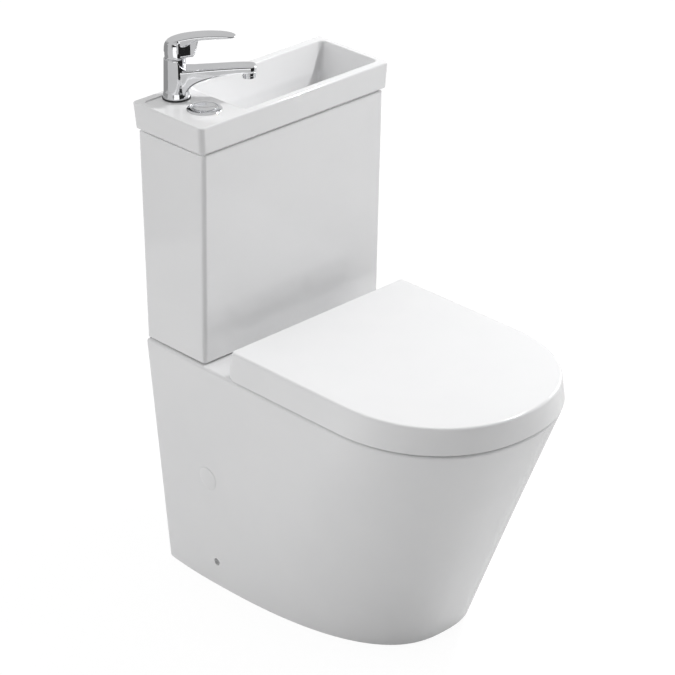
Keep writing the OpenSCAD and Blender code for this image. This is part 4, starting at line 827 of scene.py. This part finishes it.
def split(ring):
    """Points on the buttons' own axes, turned so that the split runs parallel to the spout."""
    c, s = cos(radians(90 - TAP_ANGLE)), sin(radians(90 - TAP_ANGLE))
    ring = np.asarray(ring, float)
    return np.column_stack([TAP_X + ring[:, 0] * c - ring[:, 1] * s,
                            -BUTTON_BACK + ring[:, 0] * s + ring[:, 1] * c])


def button(side):
    """One half of the round face, dished in the middle and cut along a bowed split, on its stem."""
    top = DECK_Z + BEZEL_T + FACE_UP
    dish = [(FACE_R - 1.2 - 17 * t, top - 0.9 * sin(t * pi / 2)) for t in np.linspace(0, 1, 12)]
    face = lathe("button", [(0, top - FACE_T), (FACE_R, top - FACE_T), (FACE_R, top - 1),
                            (FACE_R - 0.4, top - 0.3), *dish, (0, dish[-1][1])], (TAP_X, -BUTTON_BACK, 0))
    bow = [(0.4 * side + q * q / 110 - 1, q) for q in np.linspace(-24, 24, 33)]
    far = [(-30 * side, 24), (-30 * side, -24)]
    other = split(bow + far)
    cut(face, loft("other half", [at_z(other, top - FACE_T - 1), at_z(other, top + 1)]))
    x, y = split([(side * STEM_X, 0)])[0]
    stem = disc(STEM_R, DECK_Z - STEM_LEN, top - FACE_T + 0.5)
    return join(face, lathe("stem", stem, (x, y, 0), sides=32))


finish_piece(bezel(), "base", CHROME, ["button_bezel"])
finish_piece(button(-1), "half_button", CHROME, ["half_flush_button"])
finish_piece(button(1), "full_button", CHROME, ["full_flush_button"])


# ---- Camera, floor and light ----

# The camera's axes, its place and its lens repeat the view of the object from the front left and above
camera = bpy.data.objects.new("camera", bpy.data.cameras.new("camera"))
bpy.context.scene.collection.objects.link(camera)
right, up = Vector((0.72407, -0.68966, -0.00942)), Vector((0.31890, 0.32264, 0.89118))
back = right.cross(up)
turn = Matrix((right, up, back)).transposed().to_4x4()
camera.matrix_world = Matrix.Translation(Vector((-2665.56, -3061.26 + WALL, 2401.65)) * MM) @ turn
camera.data.sensor_width, camera.data.lens = 36, 152.35
bpy.context.scene.camera = camera


GLOSS_WHITE = 0.62


def shown_white(tree, shader, amount, camera_level, gloss_level):
    """Mixes a shader with plain white where the camera, gloss or glass sees it, at a level for each.

    Returns the mix and the socket that holds the white's level.
    """
    path = node_of(tree, "ShaderNodeLightPath")
    either = node_of(tree, "ShaderNodeMath", operation="MAXIMUM")
    seen = node_of(tree, "ShaderNodeMath", operation="MAXIMUM")
    tree.links.new(path.outputs["Is Camera Ray"], either.inputs[0])
    tree.links.new(path.outputs["Is Glossy Ray"], either.inputs[1])
    tree.links.new(either.outputs[0], seen.inputs[0])
    tree.links.new(path.outputs["Is Transmission Ray"], seen.inputs[1])
    share = node_of(tree, "ShaderNodeMath", operation="MULTIPLY")
    share.inputs[1].default_value = amount
    tree.links.new(seen.outputs[0], share.inputs[0])
    level = node_of(tree, "ShaderNodeMix", data_type="FLOAT")
    level.inputs["A"].default_value = gloss_level
    level.inputs["B"].default_value = camera_level
    tree.links.new(path.outputs["Is Camera Ray"], level.inputs["Factor"])
    white = node_of(tree, "ShaderNodeEmission")
    tree.links.new(level.outputs["Result"], white.inputs["Strength"])
    mix = node_of(tree, "ShaderNodeMixShader")
    tree.links.new(share.outputs[0], mix.inputs[0])
    tree.links.new(shader, mix.inputs[1])
    tree.links.new(white.outputs[0], mix.inputs[2])
    return mix, level


FLOOR_HALF = 9000
corners = [(x * FLOOR_HALF, y * FLOOR_HALF, 0) for x, y in ((-1, -1), (1, -1), (1, 1), (-1, 1))]
floor = make("floor", corners, [(0, 1, 2, 3)])
floor_mat = bpy.data.materials.new("pale floor")
floor_mat.use_nodes = True
tree = floor_mat.node_tree
plain = tree.nodes["Principled BSDF"]
plain.inputs["Base Color"].default_value = (0.85, 0.85, 0.85, 1)
plain.inputs["Roughness"].default_value = 0.9
plain.inputs["Specular IOR Level"].default_value = 0.0
mix = shown_white(tree, plain.outputs[0], amount=0.85, camera_level=1.08, gloss_level=GLOSS_WHITE)[0]
tree.links.new(mix.outputs[0], tree.nodes["Material Output"].inputs["Surface"])
floor.data.materials.append(floor_mat)

world = bpy.data.worlds.new("studio")
world.use_nodes = True
tree = world.node_tree
sky = tree.nodes["Background"]
sky.inputs["Color"].default_value = (1, 1, 1, 1)
mix, level = shown_white(tree, sky.outputs[0], amount=1.0, camera_level=1.0, gloss_level=GLOSS_WHITE)
tree.links.new(mix.outputs[0], tree.nodes["World Output"].inputs["Surface"])
coords = node_of(tree, "ShaderNodeTexCoord")


def toward(direction, near, far, start, end):
    """A level that runs from near to far as the view turns toward a direction."""
    turned = node_of(tree, "ShaderNodeVectorMath", operation="DOT_PRODUCT")
    tree.links.new(coords.outputs["Generated"], turned.inputs[0])
    turned.inputs[1].default_value = Vector(direction).normalized()
    return ranged(tree, turned.outputs["Value"], near, far, start, end)


# The room's light is a product of these: it falls off upwards and toward the low front left, and grows
# toward the high front and the left. Each has a direction, two levels, and where on the turn they run.
ROOM = [((0, 0, 1), 1.64, 0.6, 0, 0.8), ((-0.56, -0.81, 0.08), 1, 0.0, -0.05, 0.9),
        ((0.25, -0.8, 0.6), 1, 1.85, 0.6, 1.0), ((-0.93, 0.3, 0.2), 1, 1.8, 0.4, 1.0)]
glow = toward(*ROOM[0])
for row in ROOM[1:]:
    product = node_of(tree, "ShaderNodeMath", operation="MULTIPLY")
    tree.links.new(glow, product.inputs[0])
    tree.links.new(toward(*row), product.inputs[1])
    glow = product.outputs[0]
tree.links.new(glow, sky.inputs["Strength"])
# Gloss sees a dark patch at the front left, a little higher up
tree.links.new(toward((-0.62, -0.71, 0.34), GLOSS_WHITE, 0.02, 0.8, 0.92), level.inputs["A"])
bpy.context.scene.world = world


def lamp(name, place, target, size, power):
    """A round lamp, with its place and its target in metres from the middle of the part's footprint."""
    light = bpy.data.lights.new(name, "AREA")
    light.shape, light.size, light.energy = "DISK", size, power
    obj = bpy.data.objects.new(name, light)
    bpy.context.scene.collection.objects.link(obj)
    obj.location = place
    obj.rotation_mode = "QUATERNION"
    obj.rotation_quaternion = (Vector(target) - Vector(place)).to_track_quat("-Z", "Y")


def card(name, angle, distance, width, low, high, shade):
    """An upright card that only gloss sees, at an angle round the part's middle from its right side."""
    c, s = cos(radians(angle)), sin(radians(angle))
    ends = [(distance * c + side * width / 2 * s, distance * s - side * width / 2 * c - WALL)
            for side in (-1, 1)]
    points = [(x, y, z) for x, y in ends for z in (low, high)]
    obj = make(name, points, [(0, 1, 3, 2)])
    paper = bpy.data.materials.new(name)
    paper.use_nodes = True
    tree = paper.node_tree
    tree.nodes.remove(tree.nodes["Principled BSDF"])
    glow = node_of(tree, "ShaderNodeEmission")
    glow.inputs["Color"].default_value = (shade, shade, shade, 1)
    tree.links.new(glow.outputs[0], tree.nodes["Material Output"].inputs["Surface"])
    obj.data.materials.append(paper)
    obj.visible_camera = obj.visible_diffuse = obj.visible_shadow = obj.visible_transmission = False


lamp("key", (1.0, -0.3, 1.95), (0, 0.2, 0.78), size=0.12, power=16)
# Name, angle, distance, width, lower edge, upper edge, shade
card("dark card", -80, 1350, 1900, 0, 1500, 0.02)
card("white card", -128, 3000, 3200, 60, 1500, 1.3)
card("grey card", 112, 1500, 2000, 0, 1500, 0.33)
card("window card", 0, 2500, 1200, 900, 2200, 6)
card("shade card", 45, 900, 700, 0, 420, 0.2)

view = bpy.context.scene.view_settings
view.view_transform = "Standard"
